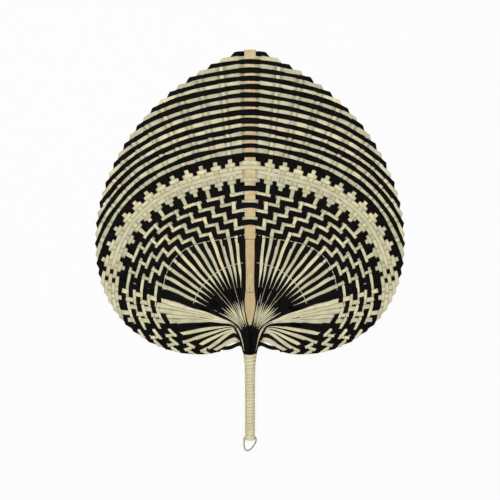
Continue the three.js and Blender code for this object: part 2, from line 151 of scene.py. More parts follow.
def smooth_curve(points: np.ndarray, steps: int) -> np.ndarray:
    """A smooth curve from the second point to the last, spaced evenly along its length.

    Args:
        points: (n, 2) or (n, 3) points; the first only gives the starting direction.
        steps: How many points to return.

    Returns:
        The points on the curve.
    """
    ends = np.concatenate([points, 2.0 * points[-1:] - points[-2:-1]])
    knots = np.concatenate([[0.0], np.cumsum(np.sqrt(np.linalg.norm(np.diff(ends, axis=0), axis=1)))])
    pieces = []
    for n in range(1, len(ends) - 2):
        t = np.linspace(knots[n], knots[n + 1], CURVE_STEPS, endpoint=n == len(ends) - 3)[:, None]
        p, k = ends[n - 1:n + 3], knots[n - 1:n + 3]
        a = [((k[m + 1] - t) * p[m] + (t - k[m]) * p[m + 1]) / (k[m + 1] - k[m]) for m in range(3)]
        b = [((k[m + 2] - t) * a[m] + (t - k[m]) * a[m + 1]) / (k[m + 2] - k[m]) for m in range(2)]
        pieces.append(((k[2] - t) * b[0] + (t - k[1]) * b[1]) / (k[2] - k[1]))
    return respaced(np.concatenate(pieces), steps)


def respaced(points: np.ndarray, steps: int) -> np.ndarray:
    """Points spaced evenly along a polyline.

    Args:
        points: (n, 2) or (n, 3) points of the polyline.
        steps: How many points to return.

    Returns:
        The points.
    """
    length = lengths(points)
    at = np.linspace(0.0, length[-1], steps)
    return np.stack([np.interp(at, length, points[:, n]) for n in range(points.shape[1])], axis=1)


class Recipe:
    """A node material while it is put together."""

    def __init__(self, name: str) -> None:
        """Start a material with its principled shader.

        Args:
            name: The material's name.
        """
        self.material = bpy.data.materials.new(name)
        self.material.use_nodes = True
        self.tree = self.material.node_tree
        self.shader = self.tree.nodes["Principled BSDF"]

    def add(self, kind: str, inputs: dict[str | int, object] | None = None,
            **settings: object) -> bpy.types.Node:
        """Add a node.

        Args:
            kind: The node's type, without its ShaderNode prefix.
            inputs: Values or sockets for its inputs, by name or place.
            **settings: The node's own properties.

        Returns:
            The new node.
        """
        node = self.tree.nodes.new("ShaderNode" + kind)
        for key, value in settings.items():
            setattr(node, key, value)
        for key, value in (inputs or {}).items():
            self.feed(node.inputs[key], value)
        return node

    def feed(self, socket: Socket, value: object) -> None:
        """Link a socket to an input, or set the input's own value.

        Args:
            socket: The input.
            value: A socket to link to it, or its value.
        """
        if isinstance(value, Socket):
            self.tree.links.new(value, socket)
        else:
            socket.default_value = value

    def math(self, operation: str, *values: object) -> Socket:
        """Result of a Math node on values or sockets."""
        return self.add("Math", dict(enumerate(values)), operation=operation).outputs[0]

    def blend(self, factor: object, first: object, second: object, mode: str = "MIX") -> Socket:
        """Colour mixed from two colours or sockets by a factor."""
        node = self.add("Mix", {0: factor, 6: first, 7: second}, data_type="RGBA", blend_type=mode)
        return node.outputs[2]

    def ease(self, value: object, low: float, high: float, to_low: float = 0.0,
             to_high: float = 1.0) -> Socket:
        """A value eased from one range to another."""
        inputs = {0: value, 1: low, 2: high, 3: to_low, 4: to_high}
        return self.add("MapRange", inputs, interpolation_type="SMOOTHSTEP").outputs[0]


@dataclass(frozen=True)
class BambooFinish:
    """Split bamboo: long fibres, slow tone changes along the strip, node marks, and painted shade at edges
    and tucks.

    Lengths are metres, as the UV map and Object coordinates are. Pairs are ranges of a noise or of the
    piece's tone, and what they become.
    """

    name: str
    pale: str
    deep: str
    warm: str
    cool: str
    roughness: Pair = (0.42, 0.62)
    roughness_range: Pair = (0.3, 0.7)
    fibre_length: float = 0.030
    fibre_width: float = 0.00035
    fibre_detail: float = 4.0
    fibre_range: Pair = (0.30, 0.68)
    cloud_length: float = 0.022
    cloud_detail: float = 2.0
    warm_range: Pair = (0.35, 0.75)
    warm_by_tone: Pair = (0.15, 0.85)
    cool_range: Pair = (0.65, 0.3)
    cool_by_tone: Pair = (0.8, 0.1)
    patch_shares: Pair = (0.4, 0.5)
    patch_detail: float = 3.0
    patch_range: Pair = (0.3, 0.7)
    patch_seed: float = 7.0
    tone_seed: float = 31.0
    mottle: float = 0.17
    mottle_light: float = 0.45
    noise_roughness: float = 0.6
    depth: float = 0.00004
    bump: float = 0.55
    # Painted shade: the colour that a strip darkens towards at its edges and where it tucks under a crossing
    # strip.
    shade: str = "#3a3420"
    edge_start: float = 0.7
    edge_shade: float = 0.6
    tuck_start: float = 0.15
    tuck_shade: float = 0.62
    marks: tuple[float, ...] = ()
    mark: str = "#4a3f26"
    mark_half_width: float = 0.00035
    mark_edges: Pair = (0.4, 1.6)
    mark_shade: float = 0.85
    mark_ragged: float = 0.0012
    gloss: float = 0.3
    grain: Grain = Grain.STRIP

    def material(self) -> Material:
        """Build the finish.

        Returns:
            The material, with its colour, roughness and bump from nodes.
        """
        recipe = Recipe(self.name)
        along, across, lift = self.directions(recipe)
        place = (recipe, along, across)
        tone = recipe.add("Attribute", attribute_name="tone").outputs["Fac"]
        seed = recipe.math("ADD", recipe.math("MULTIPLY", tone, self.tone_seed), lift)
        fibres = self.streaks(*place, seed, self.fibre_length, self.fibre_width, self.fibre_detail)
        clouds = self.streaks(*place, seed, self.cloud_length, self.cloud_length, self.cloud_detail)
        colour = recipe.blend(recipe.ease(fibres, *self.fibre_range), linear(self.deep), linear(self.pale))
        for hue, by_cloud, by_tone in ((self.warm, self.warm_range, self.warm_by_tone),
                                       (self.cool, self.cool_range, self.cool_by_tone)):
            share = recipe.math("MULTIPLY", recipe.ease(clouds, *by_cloud),
                                recipe.ease(tone, 0.0, 1.0, *by_tone))
            colour = recipe.blend(share, colour, linear(hue))
        patch_length, patch_width = [share * self.cloud_length for share in self.patch_shares]
        patches = self.streaks(*place, recipe.math("ADD", seed, self.patch_seed), patch_length, patch_width,
                               self.patch_detail)
        level = recipe.math("MULTIPLY", self.uneven(recipe, patches, *self.patch_range),
                            self.uneven(recipe, tone, 0.0, 1.0))
        colour = recipe.blend(1.0, colour, level, "MULTIPLY")
        near, far = [share * self.mark_half_width for share in self.mark_edges]
        for mark in self.marks:
            sideways = recipe.math("SUBTRACT", clouds, 0.5)
            ragged = recipe.math("MULTIPLY_ADD", sideways, self.mark_ragged, along)
            distance = recipe.math("ABSOLUTE", recipe.math("SUBTRACT", ragged, mark))
            nearness = recipe.ease(distance, near, far, self.mark_shade, 0.0)
            colour = recipe.blend(nearness, colour, linear(self.mark))
        # Painted shade: darken the colour at the strip's edges and where it is tucked under a crossing strip.
        for name, start, most in (("edge", self.edge_start, self.edge_shade),
                                  ("tuck", self.tuck_start, self.tuck_shade)):
            part = recipe.add("Attribute", attribute_name=name).outputs["Fac"]
            colour = recipe.blend(recipe.ease(part, start, 1.0, 0.0, most), colour, linear(self.shade))
        rough = recipe.ease(fibres, *self.roughness_range, self.roughness[1], self.roughness[0])
        bump = recipe.add("Bump", {"Strength": self.bump, "Distance": self.depth, "Height": fibres})
        for key, value in (("Base Color", colour), ("Roughness", rough), ("Specular IOR Level", self.gloss),
                           ("Normal", bump.outputs[0])):
            recipe.feed(recipe.shader.inputs[key], value)
        return recipe.material

    def uneven(self, recipe: Recipe, value: object, low: float, high: float) -> Socket:
        """A factor about 1 that a value in a range makes darker or lighter."""
        return recipe.ease(value, low, high, 1.0 - self.mottle, 1.0 + self.mottle_light * self.mottle)

    def directions(self, recipe: Recipe) -> tuple[Socket, Socket, object]:
        """Coordinates along and across the fibres, in metres, and a third one.

        Args:
            recipe: The material under construction.

        Returns:
            The sockets along and across, and the third coordinate.
        """
        if self.grain is Grain.STRIP:
            split = recipe.add("SeparateXYZ", {0: recipe.add("UVMap", uv_map="UVMap").outputs[0]})
            return split.outputs[0], split.outputs[1], 0.0
        split = recipe.add("SeparateXYZ", {0: recipe.add("TexCoord").outputs["Object"]})
        depth = recipe.math("MULTIPLY", split.outputs[2], 1.0 / self.fibre_width)
        return split.outputs[1], split.outputs[0], depth

    def streaks(self, recipe: Recipe, along: object, across: object, seed: object, length: float,
                width: float, detail: float) -> Socket:
        """Noise stretched along the fibres.

        Args:
            recipe: The material under construction.
            along: Coordinate along the fibres.
            across: Coordinate across them.
            seed: Third coordinate, different on each strip.
            length: Length of a streak.
            width: Width of a streak.
            detail: Octaves of the noise.

        Returns:
            The noise's value.
        """
        place = recipe.add("CombineXYZ", {0: recipe.math("DIVIDE", along, length),
                                          1: recipe.math("DIVIDE", across, width), 2: seed})
        noise = recipe.add("TexNoise", {"Vector": place.outputs[0], "Scale": 1.0, "Detail": detail,
                                        "Roughness": self.noise_roughness})
        return noise.outputs["Fac"]


class Modeller:
    """Makes finished pieces from grids of points, as by hand with a primitive grid."""

    def __init__(self, hub: Pair) -> None:
        """Keep where the hub lies.

        Args:
            hub: The hub's y and the handle axis' z in the frame, in millimetres.
        """
        self.shift = np.array([0.0, hub[0], hub[1]])

    def grid(self, name: str, points: np.ndarray, uv: np.ndarray,
             parts: dict[str, np.ndarray] | None = None) -> bpy.types.Object:
        """Add a primitive grid and move its vertices to the points.

        Args:
            name: The piece's name.
            points: (stations, across, 3) points in millimetres about the hub.
            uv: (stations, across, 2) texture places in millimetres.
            parts: (stations, across) values to keep on the vertices, by name.

        Returns:
            The new object, active and alone selected.
        """
        stations, across, _ = points.shape
        bpy.ops.object.select_all(action="DESELECT")
        bpy.ops.mesh.primitive_grid_add(x_subdivisions=stations - 1, y_subdivisions=across - 1, size=2.0)
        obj = bpy.context.object
        obj.name = obj.data.name = name
        flat = np.empty(len(obj.data.vertices) * 3)
        obj.data.vertices.foreach_get("co", flat)
        flat = flat.reshape(-1, 3)
        column = np.rint((flat[:, 0] + 1.0) / 2.0 * (stations - 1)).astype(int)
        row = np.rint((flat[:, 1] + 1.0) / 2.0 * (across - 1)).astype(int)
        obj.data.vertices.foreach_set("co", ((points[column, row] + self.shift) * MM).ravel())
        corners = np.empty(len(obj.data.loops), dtype=int)
        obj.data.loops.foreach_get("vertex_index", corners)
        layer = obj.data.uv_layers.active
        layer.name = "UVMap"
        layer.data.foreach_set("uv", (uv[column[corners], row[corners]] * MM).ravel())
        for key, values in (parts or {}).items():
            obj.data.attributes.new(key, "FLOAT", "POINT").data.foreach_set("value", values[column, row])
        obj.data.update()
        return obj

    def ribbon(self, name: str, points: np.ndarray, uv: np.ndarray, parts: dict[str, np.ndarray],
               thickness: float, smooth: float = 40.0) -> bpy.types.Object:
        """A strip: a grid given its thickness by Solidify.

        Args:
            name: The piece's name.
            points: (stations, across, 3) points of its middle surface.
            uv: (stations, across, 2) texture places.
            parts: (stations, across) values to keep on the vertices, by name.
            thickness: The strip's thickness.
            smooth: Angle under which faces shade smoothly.

        Returns:
            The finished piece.
        """
        obj = self.grid(name, points, uv, parts)
        solid = obj.modifiers.new("thickness", "SOLIDIFY")
        solid.thickness = thickness * MM
        solid.offset = 0.0
        bpy.ops.object.modifier_apply(modifier=solid.name)
        bpy.ops.object.shade_smooth_by_angle(angle=math.radians(smooth))
        return obj

    def loft(self, name: str, rings: np.ndarray, uv: np.ndarray, smooth: float = 50.0) -> bpy.types.Object:
        """A closed body through rings of points; the first and last ring are filled unless they meet.

        Args:
            name: The piece's name.
            rings: (stations, around, 3) points, each ring open by one step.
            uv: (stations, around + 1, 2) texture places.
            smooth: Angle under which faces shade smoothly.

        Returns:
            The finished piece.
        """
        obj = self.grid(name, np.concatenate([rings, rings[:, :1]], axis=1), uv)
        bpy.ops.object.mode_set(mode="EDIT")
        bpy.ops.mesh.select_all(action="SELECT")
        bpy.ops.mesh.remove_doubles(threshold=WELD)
        bpy.ops.mesh.fill_holes(sides=0)
        bpy.ops.mesh.select_all(action="SELECT")
        bpy.ops.mesh.normals_make_consistent(inside=False)
        bpy.ops.object.mode_set(mode="OBJECT")
        bpy.ops.object.shade_smooth_by_angle(angle=math.radians(smooth))
        return obj

    def tube(self, name: str, path: np.ndarray, radius: float, sides: int,
             closed: bool = False) -> bpy.types.Object:
        """A round strand along points.

        Args:
            name: The piece's name.
            path: (stations, 3) points of its middle line.
            radius: The strand's radius.
            sides: Sides of its section.
            closed: True if the strand runs back into itself.

        Returns:
            The finished piece.
        """
        if closed:
            path = np.concatenate([path, path[:1]])
            after, before = np.concatenate([path[1:], path[1:2]]), np.concatenate([path[-2:-1], path[:-1]])
            along = unit(after - before)
        else:
            along = unit(np.gradient(path, axis=0))
        side = unit(np.stack([-along[:, 1], along[:, 0], np.zeros(len(along))], axis=1))
        up = np.cross(along, side)
        turn = 2.0 * np.pi * np.arange(sides) / sides
        around = side[:, None] * np.cos(turn)[None, :, None] + up[:, None] * np.sin(turn)[None, :, None]
        girth = 2.0 * np.pi * radius * np.arange(sides + 1) / sides
        return self.loft(name, path[:, None] + radius * around, uv_grid(lengths(path), girth))


def finish_piece(obj: bpy.types.Object, material: Material, body: str, slot: str, *nodes: str,
                 tone: Values = 0.5) -> None:
    """Dress a piece and tie it to the frame.

    Args:
        obj: The finished mesh.
        material: Its finish.
        body: The body that it rides on.
        slot: The record's material slot; not used.
        *nodes: The frame's nodes that it stands for.
        tone: The piece's own tone, from 0 to 1, for all of it or for each vertex.
    """
    obj.data.materials.clear()
    obj.data.materials.append(material)
    layer = obj.data.attributes.new("tone", "FLOAT", "POINT")
    layer.data.foreach_set("value", np.broadcast_to(tone, len(obj.data.vertices)).astype(float))
    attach(obj, body)
    if nodes:
        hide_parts(*nodes)
    LOG.info("%s: %d faces, rides on %s", obj.name, len(obj.data.polygons), body)


@dataclass(frozen=True)
class BladeLayout:
    """Where the strips run: the same layout that the frame's splints follow."""

    strips: int = 43
    strip_width: float = 4.2
    rim_tip_radius: float = 273.0
    rim_side_radius: float = 130.6
    rim_side_angle: float = 90.0
    rim_tuck: float = 19.0
    rim_tuck_ease: Pair = (74.0, 50.0)
    tip_rise: float = 1.9
    tip_rise_angle: float = 6.0
    fold_start: float = 1.1
    fold_run: float = 114.8
    fold_spread_from: float = 0.33
    fold_spread: float = 33.8
    weave_depths: Pair = (181.8, 158.2)
    weave_depth_ease: Pair = (13.5, 43.7)
    bend_radius: float = 91.0
    bend_share: float = 0.74
    bend_lead: float = 0.7
    bend_start: float = 3.4
    bend_run: float = 114.0
    bend_spread_from: float = 0.465
    bend_spread: float = 59.0
    dome_level: float = 0.95
    dome_fall: float = 5.0
    dome_half_width: float = 155.0
    dome_length: float = 273.0
    dome_level_share: float = 0.33
    neck_strips: tuple[float, ...] = (0.0, 26.0, 27.0, 31.0, 32.0, 33.0, 34.0, 40.0, 41.0, 42.0)
    shoulder_radii: tuple[float, ...] = (18.0, 18.0, 18.0, 18.0, 18.0, 18.0, 18.0, 18.5, 21.0, 24.4)
    shoulder_angles: tuple[float, ...] = (17.5, 90.8, 94.3, 97.4, 101.2, 103.4, 106.6, 121.0, 130.0, 137.6)
    waist_x: tuple[float, ...] = (1.9, 9.6, 11.5, 11.9, 13.4, 13.9, 13.0, 12.4, 12.0, 11.4)
    waist_y: tuple[float, ...] = (-8.3, -8.3, -8.4, -8.5, -8.6, -8.8, -9.5, -12.0, -15.5, -19.0)
    throat_x: tuple[float, ...] = (1.4, 6.9, 8.3, 8.6, 9.9, 10.3, 9.2, 8.4, 8.0, 7.5)
    throat_y: tuple[float, ...] = (-16.7, -16.7, -16.7, -16.7, -16.7, -16.8, -17.5, -19.0, -21.0, -23.5)
    foot_x: tuple[float, ...] = (1.1, 4.6, 5.3, 5.5, 6.1, 6.3, 5.4, 4.8, 4.6, 4.4)
    foot_y: float = -31.0
    edge_route: tuple[Pair, ...] = ((30.0, -26.3), (22.5, -26.0), (17.8, -24.9), (13.0, -22.9),
                                    (8.5, -22.6), (4.5, -27.0))
    rib_steps: int = 240

    def fold_angle(self, strip: float) -> float:
        """Angle at which a strip folds over at the rim.

        Args:
            strip: The strip's number.

        Returns:
            The angle.
        """
        order = strip / self.strips
        spread = max(0.0, order - self.fold_spread_from)
        return self.fold_start + self.fold_run * order + self.fold_spread * spread * spread

    def order_folding_at(self, angle: np.ndarray) -> np.ndarray:
        """Order, from 0 to 1, of the strip that folds at an angle.

        Args:
            angle: Angles from the spine.

        Returns:
            The orders there.
        """
        past = angle - self.fold_start - self.fold_run * self.fold_spread_from
        root = np.sqrt(self.fold_run ** 2 + 4.0 * self.fold_spread * np.maximum(past, 0.0))
        spread = (root - self.fold_run) / (2.0 * self.fold_spread)
        return self.fold_spread_from + np.where(past <= 0.0, past / self.fold_run, spread)

    def rim_radius(self, angle: np.ndarray) -> np.ndarray:
        """Radius of the rim at an angle.

        Args:
            angle: Angles from the spine.

        Returns:
            The radii there.
        """
        tuck = self.rim_tuck * above(angle, *self.rim_tuck_ease)
        tip = self.tip_rise * np.exp(-((angle / self.tip_rise_angle) ** 2))
        fall = (self.rim_side_radius - self.rim_tip_radius) * angle / self.rim_side_angle
        return self.rim_tip_radius + fall - tuck + tip

    def weave_depth(self, angle: np.ndarray) -> np.ndarray:
        """Depth of the weave from the rim to the last row."""
        return mix(*self.weave_depths, above(angle, *self.weave_depth_ease))

    def row_point(self, strip: float, angle: np.ndarray) -> np.ndarray:
        """Points of a strip's row across the blade."""
        inside = strip / self.strips - self.order_folding_at(angle)
        return polar(self.rim_radius(angle) - self.weave_depth(angle) * inside, angle)

    def row_at(self, point: np.ndarray) -> np.ndarray:
        """The (fractional) row that passes through points.

        Args:
            point: (n, 2) points.

        Returns:
            The row at each.
        """
        angle = angle_of(point)
        inside = (self.rim_radius(angle) - np.linalg.norm(point, axis=1)) / self.weave_depth(angle)
        return self.strips * (self.order_folding_at(angle) + inside)

    def level(self, point: np.ndarray) -> np.ndarray:
        """Height of the blade's middle surface over the handle's axis.

        Args:
            point: (..., 2) points.

        Returns:
            The heights there.
        """
        distance = np.hypot(point[..., 0] / self.dome_half_width, point[..., 1] / self.dome_length)
        fall = np.maximum(0.0, distance - self.dome_level_share) / (1.0 - self.dome_level_share)
        return self.dome_level - self.dome_fall * fall * fall

    def rib_path(self, strip: float) -> tuple[np.ndarray, np.ndarray]:
        """Path of a strip's rib: 0 to 1 from the rim to its bend, 1 to 2 from there into the neck.

        Args:
            strip: The strip's number, which may lie between two strips.

        Returns:
            The runs and the points at them.
        """
        fold = self.fold_angle(strip)
        rim = polar(self.rim_radius(np.array(fold)), fold)
        order = strip / self.strips
        spread = max(0.0, order - self.bend_spread_from)
        bend_angle = self.bend_start + self.bend_run * order + self.bend_spread * spread * spread
        bend = polar(min(self.bend_radius, self.bend_share * np.linalg.norm(rim)), bend_angle)
        edge = max(0.0, strip - self.strips + 1.0)
        if edge > 0.0:
            route = np.array(self.edge_route)
            inward = mix(bend, route, edge) if edge < 1.0 else route
            bend = inward[0]
        else:
            inward = np.array([bend, *self.neck_points(strip)])
        curve = smooth_curve(np.array([mix(rim, bend, self.bend_lead), *inward]), self.rib_steps)
        run = np.linspace(0.0, 1.0, self.rib_steps)
        return np.concatenate([run, 1.0 + run[1:]]), np.concatenate([mix(rim, bend, run[:, None]), curve[1:]])

    def neck_points(self, strip: float) -> list[np.ndarray]:
        """Points that lead a rib over the shoulder, round the waist and down into the neck.

        Args:
            strip: The strip's number.

        Returns:
            The shoulder, waist, throat and foot.
        """
        def at(values: tuple[float, ...]) -> float:
            """The value for this strip, between those given."""
            return float(np.interp(strip, self.neck_strips, values))

        return [polar(at(self.shoulder_radii), at(self.shoulder_angles)),
                np.array([at(self.waist_x), at(self.waist_y)]),
                np.array([at(self.throat_x), at(self.throat_y)]), np.array([at(self.foot_x), self.foot_y])]


@dataclass
class Stations:
    """Stations along a strip: its middle line, vectors to one edge, and how far it is tucked under."""

    centre: np.ndarray
    half: np.ndarray
    # tuck also sets the painted shade where a strip dives under a crossing one.
    tuck: np.ndarray

    @classmethod
    def joined(cls, *parts: "Stations") -> "Stations":
        """The stations of several lengths, one after the other."""
        keys = ("centre", "half", "tuck")
        return cls(*(np.concatenate([getattr(part, key) for part in parts]) for key in keys))

    def mirrored(self) -> "Stations":
        """The stations of the other half of the fan, from the spine outward."""
        flip = np.array([-1.0, 1.0, 1.0])
        return Stations(self.centre[-2::-1] * flip, self.half[-2::-1] * flip, self.tuck[-2::-1])

    def run(self) -> np.ndarray:
        """Length from the first station to each."""
        return lengths(self.centre)


@dataclass(frozen=True)
class NeckForm:
    """The bunched neck: a flat teardrop under the spine's foot that rounds into the handle."""

    top: float = 12.0
    top_round: float = 5.0
    foot: float = -32.6
    waist: float = -8.0
    waist_half_width: float = 12.0
    foot_radius: float = 5.75
    foot_half_width: float = 6.5
    top_half_depth: float = 0.45
    least_share: float = 0.02
    outside: float = -50.0

    def half_width(self, y: np.ndarray) -> np.ndarray:
        """Half the neck's width at a height.

        Args:
            y: Heights along the fan.

        Returns:
            The half-widths there.
        """
        down = np.clip((self.waist - y) / (self.waist - self.foot), 0.0, 1.0)
        up = np.clip((y - self.waist) / (self.top + self.top_round - self.waist), 0.0, 1.0)
        lower = mix(self.waist_half_width, self.foot_half_width, down)
        return lower * np.sqrt(np.maximum(self.least_share, 1.0 - up ** 2))

    def half_depth(self, y: np.ndarray) -> np.ndarray:
        """Half the neck's depth at a height."""
        return mix(self.top_half_depth, self.foot_radius, below(y, self.top, self.top - self.foot))

    def front(self, point: np.ndarray) -> np.ndarray:
        """Height of the neck's front over the handle's axis, and far below it outside the neck.

        Args:
            point: (..., 2) points.

        Returns:
            The heights there.
        """
        y = np.clip(point[..., 1], self.foot, self.top)
        share = 1.0 - (point[..., 0] / self.half_width(y)) ** 2
        inside = self.half_depth(y) * np.sqrt(np.maximum(share, 0.0))
        return np.where((point[..., 1] < self.top) & (share > 0.0), inside, self.outside)


@dataclass(frozen=True)
class NeckLay:
    """How high the strips lie over one another near the neck."""

    sweep_middle: float = 29.5
    sweep_reach: float = 4.2
    sweep_power: int = 6
    brush_ease: Pair = (2.0, 4.0)
    under_ease: Pair = (3.0, 6.0)
    natural_rise: float = 0.2
    natural_under: float = 0.5
    natural_brush: float = 0.85
    black_rise: float = -0.12
    black_brush: float = 0.1
    dive_span: float = 2.5
    dive_side_ease: Pair = (14.0, 3.0)
    dive_depths: Pair = (2.4, 0.3)
    near_ease: Pair = (40.0, 16.0)
    sweep_rise: float = 0.75
    sweep_black: float = 0.45
    sweep_dive: float = 1.6
    sweep_dive_ease: Pair = (-20.0, 5.0)
    late_drop: float = 0.55
    late_step: float = 0.04


@dataclass(frozen=True)
class RibWidths:
    """Widths of the ribs; shares are of the distance to the neighbours, natural strips before black ones."""

    woven: float = 4.35
    twill: Pair = (3.05, 5.4)
    twill_ease: Pair = (2.0, 4.0)
    spine_gain: Pair = (1.0, 0.0)
    spine_gain_angle: float = 45.0
    sweep_share: Pair = (1.15, 1.45)
    sweep_least: Pair = (0.85, 2.3)
    sweep_most: float = 6.0
    late_share: Pair = (1.2, 1.4)
    late_least: float = 1.3
    late_most: Pair = (3.8, 5.4)
    lobe_limits: Pair = (3.4, 4.4)
    open_tip: float = 0.25
    open_body: float = 2.45
    open_gain: float = 0.8
    open_ramp: float = 22.0
    open_radius: float = 88.0
    brush_share: float = 1.55
    brush_most: float = 1.0
    brush_ease: Pair = (1.0, 12.0)
    black_share: float = 1.72
    black_gain: float = 0.6
    black_gain_ease: Pair = (70.0, 25.0)
    black_limits: Pair = (1.3, 6.6)
    band_lead: float = 2.0
    shave_rows: float = 3.0
    late_neck: float = 1.2
    late_neck_x: Pair = (11.5, 8.0)
    late_neck_span: float = 3.0
    point: float = 0.2
    point_run: float = 7.0
    neck: float = 1.05
    neck_ease: Pair = (-3.0, 5.0)
    neck_side_ease: Pair = (14.0, 2.0)
    band_foot: float = 0.25
    black_foot: float = 1.2
    foot_ease: Pair = (-10.0, 13.0)


@dataclass
class Splints:
    """The woven strips: ribs that rise from the neck, fold at the rim and cross the blade as rows."""

    modeller: Modeller
    layout: BladeLayout
    neck: NeckForm
    lay: NeckLay = NeckLay()
    widths: RibWidths = RibWidths()
    thickness: float = 0.34
    lift: float = 0.3
    wave_shares: tuple[float, ...] = (0.0, 0.24, 0.41, 0.59, 0.76)
    wave_ease: Pair = (0.24, 0.52)
    float_shares: Pair = (0.0, 0.5)
    tuck_ease: Pair = (0.5, 1.5)
    tuck_run: float = 0.05
    tone_offset: float = 0.03
    row_widths: Pair = (4.4, 5.3)
    twill_row_widths: Pair = (3.0, 5.5)
    row_share_natural: float = 0.99
    row_share_band: float = 1.08
    row_share_black: float = 1.27
    row_step: float = 0.05
    least_angle: float = 0.01
    lens_ease: Pair = (-0.4, 1.2)
    lens_black: float = 0.11
    lens_natural: Pair = (0.93, 0.02)
    fold_clearance: float = 0.35
    fold_section: tuple[Pair, ...] = ((-0.16, -0.9), (0.05, -0.45), (0.1, 0.0), (0.05, 0.45), (-0.16, 0.9))
    crease_run: float = 0.02
    crease_angle: float = 0.3
    crease_least: float = 0.5
    rib_margin: float = 0.1
    pale_band: tuple[int, int] = (27, 31)
    dark_edges: tuple[int, int] = (26, 32)
    twill_from: int = 33
    float_row: int = 29
    float_ribs: int = 23
    sweep_last: int = 33
    lobe_from: int = 40
    spine_exceptions: tuple[int, ...] = (1, 28, 29)
    spine_over: float = 0.3
    spine_under: float = 1.6
    unwoven_run: float = 0.45
    neck_stations: int = 46
    leave_run: float = 0.12
    neck_run: float = 0.2
    side_run: float = 0.004
    brush_height: float = 19.5
    brush_radius: float = 29.0
    brush_spread: float = 6.0
    brush_least_cosine: float = 0.1
    brush_foot: float = -0.8
    brush_foot_step: float = 0.17
    brush_foot_spread: float = 3.6
    bare_share: float = 0.4
    hidden_radii: Pair = (35.0, 47.0)
    hidden_angle: float = 75.0
    first_rib_reach: float = 0.75
    first_rib_rows: float = 2.0
    first_rib_ease: Pair = (14.0, 12.0)
    node_radii: Pair = (83.0, 95.0)
    node_angle: float = 38.0
    wander: Pair = (0.2, 0.45)
    unevenness: Pair = (0.04, 0.12)
    hand_waves: tuple[float, ...] = (4.5, 10.0, 23.0)
    hand_scale: float = 2.1
    loose_radius_ease: Pair = (96.0, 14.0)
    loose_height_ease: Pair = (-7.0, 8.0)
    seam_drift: float = 0.62
    seam_level: float = 0.7
    seam_waves: tuple[float, ...] = (70.0, 33.0, 19.0)
    seam_shares: Pair = (0.55, 0.45)
    seam_calm_angle: float = 12.0
    seam_most: float = 1.1
    seam_bias: float = 0.1
    seam_fade: float = 8.0
    uv_step: float = 11.0
    # Painted shade along strip edges: stronger on the band strips near the neck, weaker on narrow strips.
    band_edge_shade_gain: float = 0.15
    band_edge_shade_ease: Pair = (100.0, 10.0)
    edge_least: float = 0.35
    edge_full_width: float = 2.4
    seed: int = 7
    crossings: dict[int, np.ndarray] = field(default_factory=dict)
    row_angles: dict[int, list[float]] = field(default_factory=dict)
    paths: dict[float, tuple[np.ndarray, np.ndarray]] = field(default_factory=dict)

    def __post_init__(self) -> None:
        """Find where every rib crosses every row."""
        self.row_angles = {row: [0.0] for row in range(1, self.layout.strips + 1)}
        for rib in range(1, self.layout.strips + 1):
            runs, points = self.path(rib)
            rows = np.maximum.accumulate(self.layout.row_at(points))
            wanted = np.arange(rib + 1, self.layout.strips + 1)
            self.crossings[rib] = np.interp(wanted, rows, runs)
            for row, run in zip(wanted, self.crossings[rib]):
                x, y = self.at(rib, np.array([run]))[0]
                self.row_angles[int(row)].append(math.degrees(math.atan2(x, y)))

    def path(self, strip: float) -> tuple[np.ndarray, np.ndarray]:
        """A rib's path, kept once it is worked out.

        Args:
            strip: The strip's number.

        Returns:
            The runs and the points at them.
        """
        if strip not in self.paths:
            self.paths[strip] = self.layout.rib_path(strip)
        return self.paths[strip]

    def at(self, strip: float, runs: np.ndarray) -> np.ndarray:
        """Points of a rib at runs along it."""
        known, points = self.path(strip)
        return np.stack([np.interp(runs, known, points[:, n]) for n in (0, 1)], axis=1)

    def draw(self, use: Draw, strip: int, shape: int | tuple[int, ...] | None = None) -> Values:
        """A strip's own random numbers from 0 to 1 for one use, the same on every run."""
        return np.random.default_rng(self.seed + use.value + strip).random(shape)

    def in_band(self, strip: int) -> bool:
        """True for the strips of the all-natural band."""
        return self.pale_band[0] <= strip <= self.pale_band[1]

    def natural(self, strip: int) -> bool:
        """True for the natural strips: every second one, and the band between two black edges."""
        return self.in_band(strip) or not (strip % 2 or strip in self.dark_edges)

    def tone_of(self, strip: int) -> StripTone:
        """Colour of a strip."""
        return StripTone.NATURAL if self.natural(strip) else StripTone.BLACK

    def row_over(self, row: int, rib: int) -> bool:
        """True where a row lies over a rib; rib 0 is the spine.

        Args:
            row: The row's strip.
            rib: The rib's strip.

        Returns:
            The weave's rule: plain, a twill of two and two below the band, and one row of long floats.
        """
        if rib == 0 and row in self.spine_exceptions:
            return row % 2 == 0
        if row >= self.twill_from:
            return (row - rib) % 4 in (0, 1)
        if row == self.float_row and rib % 2 == 1 and rib <= self.float_ribs:
            return True
        return (rib + row) % 2 == 1

    def undulation(self, knots: np.ndarray, heights: np.ndarray) -> tuple[np.ndarray, np.ndarray]:
        """Samples of a strip that rises and dips between its crossings.

        Args:
            knots: Places of the crossings along the strip.
            heights: Heights at them.

        Returns:
            The sample places and the heights there.
        """
        places, levels = [], []
        for a, b, low, high in zip(knots[:-1], knots[1:], heights[:-1], heights[1:]):
            steps = np.array(self.wave_shares if low != high else self.float_shares)
            places.append(mix(a, b, steps))
            levels.append(mix(low, high, above(steps, *self.wave_ease)))
        return np.concatenate([*places, knots[-1:]]), np.concatenate([*levels, heights[-1:]])

    def tuck(self, lifts: np.ndarray) -> np.ndarray:
        """How far a strip is tucked under at heights in the weave, from 0 to 1."""
        # The finish paints shade where this is high.
        return below(lifts / self.lift, *self.tuck_ease)

